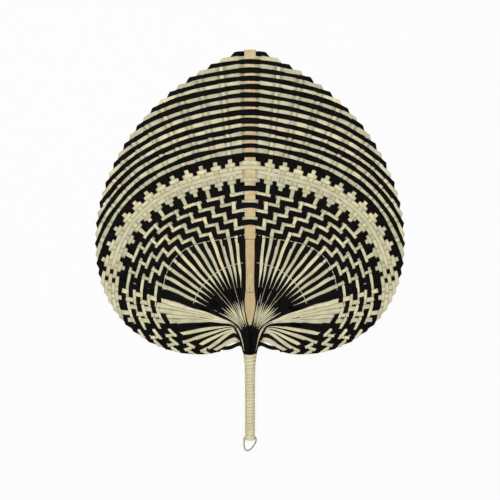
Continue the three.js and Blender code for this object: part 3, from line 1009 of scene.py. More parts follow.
    def rib_stations(self, strip: int) -> Stations:
        """Stations of a rib, from the neck to just short of its fold.

        Args:
            strip: The strip's number.

        Returns:
            Its stations.
        """
        rows = np.arange(strip + 1, self.layout.strips + 1)
        woven = self.crossings[strip]
        last = woven[-1] if len(woven) else self.unwoven_run
        straight = np.linalg.norm(np.diff(self.at(strip, np.array([0.0, 1.0])), axis=0))
        near = self.fold_setback(strip) / straight
        signs = np.array([-1.0 if self.row_over(int(row), strip) else 1.0 for row in rows])
        knots = np.concatenate([[near], woven[woven > near]])
        heights = np.concatenate([[-1.0], signs[woven > near]]) * self.lift
        runs, lifts = self.undulation(knots, heights)
        leave = np.linspace(last, 2.0, self.neck_stations)[1:]
        ease = 1.0 - above(leave, last, self.leave_run)
        runs = np.concatenate([runs, leave])[::-1]
        points = self.at(strip, runs)
        radius = np.linalg.norm(points, axis=1)
        woven_lift = np.concatenate([lifts, lifts[-1] * ease])[::-1]
        height = np.maximum(self.layout.level(points), self.neck.front(points)) + woven_lift
        height += self.neck_lift(strip, points, radius) * above(runs, last, self.neck_run)
        side, spacing = self.rib_sides(strip, runs)
        width = self.rib_width_at(strip, points, radius, spacing)
        if strip == 1:
            inward = self.first_rib_reach * above(self.layout.row_at(points), self.layout.strips,
                                                  self.first_rib_rows)
            inward *= above(points[:, 1], *self.first_rib_ease)
            width = width + 2.0 * inward
            points = points - side * inward[:, None]
        centre = np.column_stack([points, height])
        half = np.column_stack([side * width[:, None] / 2.0, np.zeros(len(runs))])
        tuck = self.tuck(woven_lift) * below(runs, last + self.tuck_run, self.tuck_run)
        return Stations(centre, half, tuck)

    def rib_sides(self, strip: int, runs: np.ndarray) -> tuple[np.ndarray, np.ndarray]:
        """Sideways directions of a rib, and the distance to its neighbours.

        Args:
            strip: The strip's number.
            runs: Places along the rib.

        Returns:
            The directions and the distances there.
        """
        after, before = np.minimum(runs + self.side_run, 2.0), np.maximum(runs - self.side_run, 0.0)
        forward = -unit(self.at(strip, after) - self.at(strip, before))
        side = np.stack([forward[:, 1], -forward[:, 0]], axis=1)
        across = self.at(strip + 0.5, runs) - self.at(strip - 0.5, runs)
        return side, np.abs(np.sum(across * side, axis=1))

    def brush_start(self, strip: int) -> float:
        """Radius inside which a natural strip lies on top in the brush round the neck.

        Args:
            strip: The strip's number.

        Returns:
            The radius.
        """
        cosine = max(self.brush_least_cosine, math.cos(math.radians(self.layout.fold_angle(strip))))
        uneven = self.brush_spread * float(self.draw(Draw.BRUSH_START, strip) - 0.5)
        return min(self.brush_height / cosine, self.brush_radius) + uneven

    def brush_end(self, strip: int) -> float:
        """Height at which a natural strip's fibres end on the black bunch of the neck."""
        uneven = self.brush_foot_spread * float(self.draw(Draw.BRUSH_END, strip))
        return self.brush_foot - self.brush_foot_step * strip - uneven

    def hidden_start(self, points: np.ndarray) -> np.ndarray:
        """Radius inside which the natural strips go under the black ones."""
        return mix(*self.hidden_radii, above(angle_of(points), 0.0, self.hidden_angle))

    def neck_lift(self, strip: int, points: np.ndarray, radius: np.ndarray) -> np.ndarray:
        """How the strips lie over one another near the neck.

        Natural strips lie over the black ones in the open ribs, go under them, and come up again as a
        brush round the neck. The strips that sweep in from the sides lie over all the others.

        Args:
            strip: The strip's number.
            points: Points of its rib.
            radius: Their distances from the hub.

        Returns:
            How far the strip is lifted at the points.
        """
        lay, natural = self.lay, self.natural(strip)
        sweep = math.exp(-(((strip - lay.sweep_middle) / lay.sweep_reach) ** lay.sweep_power))
        late = 1.0 if strip > self.sweep_last else 0.0
        buried = 0.0 if self.draw(Draw.BARE, strip) < self.bare_share else 1.0
        brush_lead, brush_span = lay.brush_ease
        under_lead, under_span = lay.under_ease
        brush = below(radius, self.brush_start(strip) + brush_lead, brush_span) * (1.0 - late)
        under = below(radius, self.hidden_start(points) + under_lead, under_span)
        under = under * (1.0 - sweep) * (1.0 - late) * buried
        if natural:
            lift = lay.natural_rise - lay.natural_under * under + lay.natural_brush * brush
        else:
            lift = lay.black_rise + lay.black_brush * brush
        dive = below(points[:, 1], self.brush_end(strip), lay.dive_span)
        dive = dive * below(points[:, 0], *lay.dive_side_ease)
        lift = lift - dive * (1.0 - sweep) * lay.dive_depths[not natural]
        near = below(radius, *lay.near_ease)
        lift = lift + sweep * near * (lay.sweep_rise + lay.sweep_black * (not natural))
        lift = lift - sweep * natural * lay.sweep_dive * below(points[:, 1], *lay.sweep_dive_ease)
        return lift - late * near * (lay.late_drop + lay.late_step * (strip - self.sweep_last))

    def rib_width_at(self, strip: int, points: np.ndarray, radius: np.ndarray,
                     spacing: np.ndarray) -> np.ndarray:
        """Width of a rib: full in the weave, shaved narrow among the open ribs and in the neck.

        Args:
            strip: The strip's number.
            points: Points of its rib.
            radius: Their distances from the hub.
            spacing: The distance to the neighbours there.

        Returns:
            The widths at the points.
        """
        form, in_band, kind = self.widths, self.in_band(strip), int(not self.natural(strip))
        rows = self.layout.row_at(points)
        twill_lead, twill_span = form.twill_ease
        twill = smoothstep((rows - self.twill_from + twill_lead) / twill_span)
        sideways = above(angle_of(points), 0.0, form.spine_gain_angle)
        narrow = form.twill[kind] + form.spine_gain[kind] * (1.0 - sideways)
        woven = mix(form.woven, narrow, twill * (0.0 if in_band else 1.0))
        shaved = self.shaved_width(strip, points, radius, spacing)
        start = self.layout.strips - (form.band_lead if in_band else 0.0)
        width = mix(woven, shaved, above(rows, start, form.shave_rows))
        if strip > self.sweep_last:
            edge = form.late_neck_x[strip == self.layout.strips]
            return mix(width, form.late_neck, below(points[:, 0], edge, form.late_neck_span))
        if self.natural(strip) and not in_band:
            point = below(points[:, 1], self.brush_end(strip) + form.point_run, form.point_run)
            return np.maximum(form.point, mix(width, form.point, point))
        inside = below(points[:, 1], *form.neck_ease) * below(points[:, 0], *form.neck_side_ease)
        foot = below(points[:, 1], *form.foot_ease) * inside
        least = form.band_foot if in_band else form.black_foot
        return mix(width, form.neck, inside) + (least - form.neck) * foot

    def shaved_width(self, strip: int, points: np.ndarray, radius: np.ndarray,
                     spacing: np.ndarray) -> np.ndarray:
        """Width of a rib below the weave.

        Args:
            strip: The strip's number.
            points: Points of its rib.
            radius: Their distances from the hub.
            spacing: The distance to the neighbours there.

        Returns:
            The widths at the points.
        """
        form, kind = self.widths, int(not self.natural(strip))
        if self.dark_edges[0] <= strip <= self.sweep_last:
            return np.clip(form.sweep_share[kind] * spacing, form.sweep_least[kind], form.sweep_most)
        if strip >= self.lobe_from:
            return np.clip(form.late_share[kind] * spacing, *form.lobe_limits)
        if strip > self.sweep_last:
            return np.clip(form.late_share[kind] * spacing, form.late_least, form.late_most[kind])
        if not self.natural(strip):
            share = form.black_share + form.black_gain * below(radius, *form.black_gain_ease)
            return np.clip(share * spacing, *form.black_limits)
        hidden = self.hidden_start(points)
        gain = np.clip((radius - hidden) / (form.open_radius - hidden), 0.0, 1.0)
        body = (form.open_body + form.open_gain * gain) * above(radius, hidden, form.open_ramp)
        brush_lead, brush_span = form.brush_ease
        brush = below(radius, self.brush_start(strip) + brush_lead, brush_span)
        fibres = form.brush_share * np.minimum(spacing, form.brush_most) - form.open_tip
        return form.open_tip + body + fibres * brush

    def fold_setback(self, strip: int) -> float:
        """How far from the rim a rib's flat part starts."""
        _, half, outward, _ = self.crease(strip)
        return abs(float(np.dot(half, outward))) + self.fold_clearance

    def crease(self, strip: int) -> tuple[np.ndarray, np.ndarray, np.ndarray, np.ndarray]:
        """The fold at the rim.

        Args:
            strip: The strip's number.

        Returns:
            Its middle, its half-length vector, and the directions of the rib and of the row there.
        """
        angle = self.layout.fold_angle(strip)
        ends = self.at(strip, np.array([0.0, self.crease_run]))
        outward = unit(ends[0] - ends[1])
        row = self.layout.row_point(strip, np.array([angle, angle - self.crease_angle]))
        onward = unit(row[1] - row[0])
        rib_side = np.array([outward[1], -outward[0]])
        row_side = np.array([-onward[1], onward[0]])
        direction = unit(rib_side + row_side)
        width = min(self.layout.strip_width, self.row_width(strip, np.array([angle]))[0])
        half = direction * (width / 2.0 / max(self.crease_least, float(np.dot(direction, row_side))))
        return ends[0], half, outward, onward

    def row_width(self, strip: int, angle: np.ndarray) -> np.ndarray:
        """Width of a row.

        Args:
            strip: The strip's number.
            angle: Angles along its row.

        Returns:
            The widths there.
        """
        outer, inner = self.layout.row_point(strip - 0.5, angle), self.layout.row_point(strip + 0.5, angle)
        widths = self.twill_row_widths if strip >= self.twill_from - 1 else self.row_widths
        share = self.row_share_natural if self.natural(strip) else self.row_share_black
        share = self.row_share_band if self.in_band(strip) else share
        return np.minimum(widths[not self.natural(strip)], np.linalg.norm(inner - outer, axis=1) * share)

    def seam(self, row: int, angle: np.ndarray) -> np.ndarray:
        """How far outward hand work moves the seam inside a row of the plain weave.

        Args:
            row: The row's strip.
            angle: Angles along it.

        Returns:
            The distances there.
        """
        if not 1 <= row < self.dark_edges[0] - 1:
            return np.zeros_like(angle)
        shares = 2.0 * self.draw(Draw.SEAM, row, len(self.seam_waves) + 1) - 1.0
        waves = sum(share * np.cos(2.0 * np.pi * angle / wave)
                    for share, wave in zip(shares[1:], self.seam_waves))
        calm = self.seam_shares[0] + self.seam_shares[1] * above(angle, 0.0, self.seam_calm_angle)
        drift = self.seam_drift * (self.seam_level * shares[0] + waves) * calm
        bias = self.seam_bias if self.natural(row) else -self.seam_bias
        return bias + self.seam_most * np.tanh(drift / self.seam_most)

    def lens(self, strip: int, lifts: np.ndarray, past_first_rib: np.ndarray) -> np.ndarray:
        """How rows change width: natural ones hardly, black ones narrow where they lie over a rib.

        Args:
            strip: The strip's number.
            lifts: Heights along its row.
            past_first_rib: Where the row has passed the rib next to the spine.

        Returns:
            Factors on the width.
        """
        if strip >= self.twill_from:
            return np.ones_like(lifts)
        over = above(lifts / self.lift, *self.lens_ease)
        if self.natural(strip):
            return np.where(past_first_rib, self.lens_natural[0] + self.lens_natural[1] * over, 1.0)
        return np.where(past_first_rib, 1.0 - self.lens_black * over, 1.0)

    def fold_stations(self, strip: int) -> Stations:
        """Stations round the crease: rib side, edge and row side.

        Args:
            strip: The strip's number.

        Returns:
            Its stations there.
        """
        middle, half, outward, onward = self.crease(strip)
        away = unit(outward - onward)
        level = float(self.layout.level(middle))
        centre = [[*(middle + away * out), level + self.lift * up] for out, up in self.fold_section]
        return Stations(np.array(centre), np.tile([half[0], half[1], 0.0], (len(centre), 1)),
                        np.zeros(len(centre)))

    def row_stations(self, strip: int) -> Stations:
        """Stations of a row, from its fold to the spine.

        Args:
            strip: The strip's number.

        Returns:
            Its stations.
        """
        fold = self.layout.fold_angle(strip)
        reach = self.layout.row_point(strip, np.array([fold, fold - 1.0]))
        per_degree = float(np.linalg.norm(reach[0] - reach[1]))
        _, half, _, onward = self.crease(strip)
        near = fold - (abs(float(np.dot(half, onward))) + self.fold_clearance) / per_degree
        passed = enumerate(self.row_angles[strip])
        ribs = [n for n, angle in passed if n < strip and angle < near - self.rib_margin]
        knots = np.array([self.row_angles[strip][n] for n in ribs] + [near])
        heights = [self.lift if self.row_over(strip, n) else -self.lift for n in ribs] + [self.lift]
        heights[0] = self.spine_over if self.row_over(strip, 0) else -self.spine_under
        angles, lifts = self.undulation(knots, np.array(heights))
        angles, lifts = angles[::-1], lifts[::-1]
        points = self.layout.row_point(strip, angles)
        forward = unit(self.layout.row_point(strip, angles - self.row_step)
                       - self.layout.row_point(strip, angles + self.row_step))
        forward[-1] = [-1.0, 0.0]
        side = np.stack([-forward[:, 1], forward[:, 0]], axis=1)
        width = self.row_width(strip, np.maximum(angles, self.least_angle))
        width = width * self.lens(strip, lifts, angles >= knots[min(1, len(knots) - 1)])
        fade = smoothstep((near - angles) * per_degree / self.seam_fade)
        outer, inner = self.seam(strip - 1, angles) * fade, self.seam(strip, angles) * fade
        width = width + outer - inner
        points = points - side * (outer + inner)[:, None] / 2.0
        offset = self.tone_offset if self.natural(strip) else -self.tone_offset
        centre = np.column_stack([points, self.layout.level(points) + lifts + offset])
        half = np.column_stack([side * width[:, None] / 2.0, np.zeros(len(angles))])
        return Stations(centre, half, self.tuck(lifts))

    def build(self) -> None:
        """Make and dress every strip."""
        finishes = {StripTone.NATURAL: NATURAL_STRIP.material(), StripTone.BLACK: BLACK_STRIP.material()}
        tones = np.random.default_rng(self.seed).random(self.layout.strips + 1)
        for strip in range(1, self.layout.strips + 1):
            rib, fold, row = self.rib_stations(strip), self.fold_stations(strip), self.row_stations(strip)
            right = Stations.joined(rib, fold, row)
            right.centre[-1, 0] = 0.0
            length = right.run() - right.run()[self.mark_station(rib.centre)]
            whole = self.by_hand(strip, Stations.joined(right, right.mirrored()))
            obj = self.strip_piece(strip, whole, np.concatenate([length, length[-2::-1]]))
            kind = self.tone_of(strip)
            finish_piece(obj, finishes[kind], "fan", kind.value, f"splint_{strip:02d}",
                         tone=float(tones[strip]))

    def by_hand(self, strip: int, whole: Stations) -> Stations:
        """A strip with the unevenness of hand work.

        Args:
            strip: The strip's number.
            whole: Its stations as laid out.

        Returns:
            The stations with a line that wanders and a width that varies, most among the open ribs.
        """
        if strip == 1:
            return whole
        turns = self.draw(Draw.BY_HAND, strip, (2, len(self.hand_waves))) * 2.0 * np.pi
        run = whole.run()[None, :, None] / np.array(self.hand_waves)
        drift, swell = np.sum(np.sin(run + turns[:, None]), axis=-1) / self.hand_scale
        radius = np.hypot(whole.centre[:, 0], whole.centre[:, 1])
        loose = below(radius, *self.loose_radius_ease) * above(whole.centre[:, 1], *self.loose_height_ease)
        drift = drift * mix(*self.wander, loose)
        swell = swell * mix(*self.unevenness, loose)
        return Stations(whole.centre + unit(whole.half) * drift[:, None],
                        whole.half * (1.0 + swell)[:, None], whole.tuck)

    def mark_station(self, rib: np.ndarray) -> int:
        """The station of a rib that is nearest to its bamboo node."""
        radius = mix(*self.node_radii, above(angle_of(rib), 0.0, self.node_angle))
        return int(np.argmin(np.abs(np.hypot(rib[:, 0], rib[:, 1]) - radius)))

    def strip_piece(self, strip: int, whole: Stations, length: np.ndarray) -> bpy.types.Object:
        """Make one strip from its stations.

        Args:
            strip: The strip's number.
            whole: Its stations from one end to the other.
            length: Length along it from its node mark.

        Returns:
            The strip's mesh.
        """
        across = np.array([-1.0, 0.0, 1.0])
        points = whole.centre[:, None] + whole.half[:, None] * across[None, :, None]
        widths = np.linalg.norm(whole.half, axis=1)
        uv = np.stack([np.repeat(length[:, None], 3, axis=1), widths[:, None] * across[None]], axis=-1)
        uv[..., 1] += self.uv_step * strip
        # edge and tuck set how much painted shade the finish puts on each vertex.
        radius = np.hypot(*whole.centre[:, :2].T)
        band_edge_shade = 1.0 + self.band_edge_shade_gain * self.in_band(strip) * below(radius, *self.band_edge_shade_ease)
        broad = np.minimum(1.0, self.edge_least + widths / self.edge_full_width)
        parts = {"edge": np.abs(across)[None] * (band_edge_shade * broad)[:, None],
                 "tuck": np.repeat(whole.tuck[:, None], 3, axis=1)}
        return self.modeller.ribbon(f"woven_splint_{strip:02d}", points, uv, parts, self.thickness)


@dataclass
class Spine:
    """Split-bamboo bar up the middle of the blade, cut to a point where it meets the neck."""

    modeller: Modeller
    layout: BladeLayout
    foot_y: float = -4.2
    taper_top: float = 14.0
    tip_y: float = 272.9
    foot_width: float = 10.6
    tip_width: float = 11.8
    point_least: float = 0.07
    point_gain: float = 0.93
    point_power: float = 0.62
    thickness: float = 1.25
    sink: float = 0.15
    rise: float = 1.15
    rise_from: float = 45.0
    crown: float = 0.18
    node_heights: Pair = (82.5, 29.5)
    node_half_height: float = 1.6
    node_rise: float = 0.12
    lip_half_width: float = 6.4
    lip_top_ease: Pair = (97.0, 6.0)
    lip_foot_run: float = 26.0
    taper_stations: int = 24
    stations: int = 150
    girth_end: float = 7.0
    smooth: float = 35.0
    tone_ease: Pair = (0.1, 0.5)
    section: tuple[Pair, ...] = ((-1.0, -0.75), (-0.96, -0.12), (-0.86, 0.0), (-0.4, 0.75), (0.0, 1.0),
                                 (0.4, 0.75), (0.86, 0.0), (0.96, -0.12), (1.0, -0.75), (0.9, -1.0),
                                 (-0.9, -1.0))
    lip_below: float = -0.5

    def build(self) -> None:
        """Make and dress the bar."""
        taper = np.linspace(self.foot_y, self.taper_top, self.taper_stations, endpoint=False)
        y = np.concatenate([taper, np.linspace(self.taper_top, self.tip_y, self.stations)])
        along = np.clip((y - self.taper_top) / (self.tip_y - self.taper_top), 0.0, 1.0)
        point = np.clip((y - self.foot_y) / (self.taper_top - self.foot_y), 0.0, 1.0)
        width = mix(self.foot_width, self.tip_width, along)
        width = width * (self.point_least + self.point_gain * point ** self.point_power)
        node = sum(np.exp(-(((y - at) / self.node_half_height) ** 2)) for at in self.node_heights)
        level = self.layout.level(np.stack([np.zeros_like(y), np.maximum(y, 0.0)], axis=1))
        top = level - self.sink + self.rise * below(y, self.rise_from, self.rise_from) + self.node_rise * node
        lip = self.lip_half_width * below(y, *self.lip_top_ease) * above(y, self.foot_y, self.lip_foot_run)
        side, up = np.array(self.section).T
        rings = np.empty((len(y), len(up), 3))
        low = up < self.lip_below
        rings[..., 0] = side[None] * np.where(low[None], np.maximum(width / 2.0, lip)[:, None],
                                              width[:, None] / 2.0)
        rings[..., 1] = y[:, None]
        rings[..., 2] = top[:, None] - self.crown + np.where(up >= 0.0, up * self.crown, up * self.thickness)
        steps = np.cumsum(np.hypot(np.diff(side), np.diff(up)))
        girth = np.concatenate([[0.0], steps, [self.girth_end]]) * self.foot_width / 2.0
        obj = self.modeller.loft("split_bamboo_spine", rings, uv_grid(y - self.node_heights[0], girth),
                                 smooth=self.smooth)
        place = np.empty(len(obj.data.vertices) * 3)
        obj.data.vertices.foreach_get("co", place)
        height = (place.reshape(-1, 3)[:, 1] / MM - self.modeller.shift[1]) / self.tip_y
        finish_piece(obj, SPINE_BAR.material(), "fan", "spine_bamboo", "spine",
                     tone=above(height, *self.tone_ease))


@dataclass
class NeckBundle:
    """The black strip ends that are bunched into the handle, each a rounded ridge of the bundle."""

    modeller: Modeller
    neck: NeckForm
    ridges: int = 30
    ridge_depth: float = 0.5
    ridge_power: float = 0.7
    ridge_shares: Pair = (0.35, 0.65)
    points_per_ridge: int = 6
    stations: int = 40
    wander: float = 0.05
    wander_waves: Pair = (5.0, 2.0)
    girth: float = 50.0
    tone: float = 0.3
    tails: tuple[Pair, ...] = ((0.6, 0.94), (1.6, 0.86), (2.6, 0.78))

    def build(self) -> None:
        """Make and dress the bundle."""
        count = self.ridges * self.points_per_ridge
        share = np.arange(count) / count
        drop, gathered = np.array(self.tails).T
        y = np.concatenate([np.linspace(self.neck.top, self.neck.foot, self.stations), self.neck.foot - drop])
        gather = np.concatenate([np.ones(self.stations), gathered])[:, None]
        turn = 2.0 * np.pi * share
        ridge = np.abs(np.sin(np.pi * self.ridges * share)) ** self.ridge_power - 1.0
        down = ((self.neck.top - y) / (self.neck.top - self.neck.foot))[:, None]
        wander = self.wander * np.sin(self.wander_waves[0] * turn[None] + self.wander_waves[1] * down)
        depth = self.ridge_depth * (self.ridge_shares[0] + self.ridge_shares[1] * down) * ridge[None] + wander
        half_width = gather * self.neck.half_width(y)[:, None]
        half_depth = gather * self.neck.half_depth(y)[:, None]
        rings = np.stack([(half_width + depth) * np.cos(turn), np.repeat(y[:, None], count, axis=1),
                          (half_depth + depth) * np.sin(turn)], axis=-1)
        girth = np.arange(count + 1) / count * self.girth
        obj = self.modeller.loft("bunched_splint_ends", rings, uv_grid(-y, girth))
        finish_piece(obj, BUNCHED_ENDS.material(), "fan", StripTone.BLACK.value, "splint_roots",
                     tone=self.tone)


@dataclass
class Handle:
    """The bound handle: a strip wound round the splint tails, a closing band and a hanging loop."""

    modeller: Modeller
    top: float = -32.8
    radius: float = 5.0
    flare: float = 0.9
    flare_run: float = 6.0
    breadth: float = 0.85
    breadth_run: float = 8.0
    turns: int = 24
    turn_gap: float = 0.16
    strip_thickness: float = 0.62
    strip_girth: float = 2.2
    strip_section: tuple[Pair, ...] = ((1.0, -0.6), (0.97, -0.12), (0.8, 0.0), (0.0, 0.06), (-0.8, 0.0),
                                       (-0.97, -0.12), (-1.0, -0.6), (0.0, -1.0))
    strip_tone: float = 0.55
    tuck_depth: float = 0.3
    tuck_first: float = 0.9
    tuck_last: float = 0.85
    tuck_run: float = 0.25
    collar_rise: float = 1.2
    collar_lean: float = 0.5
    collar_turns: float = 4.0
    collar_swell: float = 0.2
    wobbles: tuple[tuple[float, float, float], ...] = ((0.06, 0.37, 1.3), (0.04, 1.71, 0.0))
    steps_per_turn: int = 40
    smooth: float = 60.0
    band_top: float = -113.3
    end: float = -118.3
    band_profile: tuple[Pair, ...] = ((4.35, 0.02), (4.8, 0.0), (5.0, 0.06), (5.06, 0.3), (5.06, 0.7),
                                      (5.0, 0.94), (4.8, 1.0), (4.35, 0.98))
    band_sides: int = 96
    band_girth: float = 12.0
    band_tone: float = 0.7
    lap: float = 0.22
    lap_ease: Pair = (4.2, 0.12)
    lap_end_ease: Pair = (5.9, 0.38)
    lap_outside: float = 4.5
    loop_pivot: float = -115.3
    loop_length: float = 13.6
    loop_apex: float = -2.6
    loop_radius: float = 0.6
    loop_right: tuple[Pair, ...] = ((1.0, 0.33), (0.68, 0.68), (0.3, 0.93))
    loop_left: tuple[Pair, ...] = ((0.64, 0.92), (1.0, 0.66), (1.0, 0.33))
    loop_stations: int = 181
    loop_sides: int = 16
    seat: float = 0.3

    def build(self) -> None:
        """Make and dress the handle's pieces."""
        binding = BINDING.material()
        self.build_binding(binding)
        self.build_band(binding)
        self.build_loop(LOOP_CANE.material())
        self.dress_tails(TAIL_ENDS.material())

    def radius_at(self, y: np.ndarray) -> np.ndarray:
        """Outer radius of the binding at a height."""
        return self.radius + self.flare * np.exp((y - self.top) / self.flare_run)

    def build_binding(self, material: Material) -> None:
        """Wind the strip round the handle in one length, its level first and last turns tucked under.

        Args:
            material: Its finish.
        """
        pitch = (self.top - self.band_top) / (self.turns + 1)
        wound = np.arange((self.turns + 2) * self.steps_per_turn + 1) / self.steps_per_turn
        turn = 2.0 * np.pi * wound
        y = self.top - pitch / 2.0 - pitch * np.clip(wound - 1.0, 0.0, self.turns)
        level = 1.0 - above(wound, self.tuck_first, self.tuck_run)
        level = level + smoothstep((wound - self.turns - self.tuck_last) / self.tuck_run)
        along, deep = np.array(self.strip_section).T
        side = np.cos(turn)
        collar = self.collar_rise * side ** 2 * (1.0 + self.collar_lean * side)
        collar *= 1.0 - above(wound, self.tuck_first, self.collar_turns)
        height = (y + collar)[:, None] + along[None] * ((pitch - self.turn_gap) / 2.0)
        wobble = sum(size * np.sin(turn * wave + start) for size, wave, start in self.wobbles)
        sunk = wobble - self.tuck_depth * level + self.collar_swell * collar
        out = self.radius_at(height) + deep[None] * self.strip_thickness + sunk[:, None]
        broad = out + self.breadth * np.exp((height - self.top) / self.breadth_run)
        rings = np.stack([broad * side[:, None], height, out * np.sin(turn)[:, None]], axis=-1)
        girth = np.linspace(0.0, self.strip_girth * pitch, len(deep) + 1)
        obj = self.modeller.loft("wound_binding_strip", rings, uv_grid(turn * self.radius, girth),
                                 smooth=self.smooth)
        finish_piece(obj, material, "fan", "binding_strip", "handle_binding", tone=self.strip_tone)

    def build_band(self, material: Material) -> None:
        """Make the wider closing band at the handle's end, lapped over itself once.

        Args:
            material: Its finish.
        """
        reach, up = np.array(self.band_profile).T
        around = np.linspace(0.0, 2.0 * np.pi, self.band_sides + 1)[:-1]
        lap = self.lap * above(around, *self.lap_ease) * (1.0 - above(around, *self.lap_end_ease))
        height = self.end + up * (self.band_top - self.end)
        out = reach[None] + lap[:, None] * (reach > self.lap_outside)[None]
        rings = np.stack([out * np.cos(around)[:, None], np.repeat(height[None], len(around), axis=0),
                          out * np.sin(around)[:, None]], axis=-1)
        length = np.concatenate([around, [2.0 * np.pi]]) * self.radius
        girth = np.linspace(0.0, self.band_girth, len(up) + 1)
        obj = self.modeller.loft("closing_band", np.concatenate([rings, rings[:1]]), uv_grid(length, girth),
                                 smooth=self.smooth)
        finish_piece(obj, material, "fan", "binding_strip", "end_wrap", tone=self.band_tone)

    def build_loop(self, material: Material) -> None:
        """Make the cane loop: a bar through the band, two legs and an off-centre apex.

        Args:
            material: Its finish.
        """
        leg = self.radius + self.seat + self.loop_radius
        bend = 2.0 * self.loop_radius
        pivot, apex = self.loop_pivot, self.loop_pivot - self.loop_length

        def down(side: float, shares: tuple[Pair, ...]) -> list[Pair]:
            """Points of a leg, from shares of the way out and down."""
            return [(mix(self.loop_apex, side * leg, out), mix(pivot, apex, low)) for out, low in shares]

        route = [(leg - bend, pivot), (leg, pivot - bend), *down(1.0, self.loop_right),
                 (self.loop_apex, apex), *down(-1.0, self.loop_left), (-leg, pivot - bend),
                 (bend - leg, pivot), (-leg / 2.0, pivot), (0.0, pivot), (leg / 2.0, pivot)]
        flat = smooth_curve(np.array([route[-1], *route, route[0]]), self.loop_stations)[:-1]
        path = np.column_stack([flat, np.zeros(len(flat))])
        obj = self.modeller.tube("cane_hanging_loop", path, self.loop_radius, self.loop_sides, closed=True)
        finish_piece(obj, material, "loop", "loop_cane", "hang_loop", tone=0.5)

    def dress_tails(self, material: Material) -> None:
        """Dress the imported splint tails, which show at the handle's end.

        Args:
            material: Their finish.
        """
        for name in ("splint_tails_front", "splint_tails_back"):
            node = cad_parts[name]
            node.data.materials.clear()
            node.data.materials.append(material)
            LOG.info("%s: dressed as it is", name)


@dataclass
class SpacerThreads:
    """Two threads that keep the open ribs apart, over the black ribs and under the natural ones."""

    modeller: Modeller
    splints: Splints
    radius: float = 0.32
    sides: int = 8
    swing: float = 0.5
    inner_radius: float = 59.4
    inner_angle: float = 72.0
    outer_angle: float = 70.0
    outer_inset: float = 3.3
    behind_spine: float = 1.9
    spine_angle: float = 4.0
    middle_angle: float = 30.0
    widest_angle: float = 90.0
    stations: int = 541
    tone: float = 0.4

    def curve(self, last_angle: float, radius_at: np.ndarray, angles: np.ndarray) -> np.ndarray:
        """Route of a thread.

        Args:
            last_angle: Angle at which it ends on either side.
            radius_at: Its radius from the hub at each angle.
            angles: The angles, from 0 past last_angle.

        Returns:
            (n, 3) points from one end to the other.
        """
        layout = self.splints.layout
        points = polar(radius_at, angles)
        middle = np.interp(self.middle_angle, angles, radius_at)
        strips = range(1, layout.strips + 1)
        ribs = [self.rib_angle(strip, middle) for strip in strips]
        heights = [-self.swing if self.splints.natural(strip) else self.swing for strip in strips]
        lift = np.interp(angles, [0.0, self.spine_angle, *ribs],
                         [-self.behind_spine, -self.behind_spine, *heights])
        path = np.column_stack([points, layout.level(points) + lift])
        keep = angles <= last_angle
        mirror = path[keep][:0:-1] * np.array([-1.0, 1.0, 1.0])
        return np.concatenate([mirror, path[keep]])

    def rib_angle(self, strip: int, radius: float) -> float:
        """Angle of a rib where it passes a radius.

        Args:
            strip: The strip's number.
            radius: Distance from the hub.

        Returns:
            The angle.
        """
        _, points = self.splints.path(strip)
        at = int(np.argmin(np.abs(np.linalg.norm(points, axis=1) - radius)))
        return math.degrees(math.atan2(points[at, 0], points[at, 1]))

    def build(self) -> None:
        """Make and dress both threads."""
        material = THREAD.material()
        layout = self.splints.layout
        angles = np.linspace(0.0, self.widest_angle, self.stations)
        last_row = np.linalg.norm(layout.row_point(layout.strips, angles), axis=1)
        routes = {"inner": (self.inner_angle, np.full_like(angles, self.inner_radius)),
                  "outer": (self.outer_angle, last_row - self.outer_inset)}
        for name, (last_angle, radius_at) in routes.items():
            path = self.curve(last_angle, radius_at, angles)
            obj = self.modeller.tube(f"{name}_spacer_thread", path, self.radius, self.sides)
            finish_piece(obj, material, "fan", "spacer_thread", f"{name}_thread", tone=self.tone)


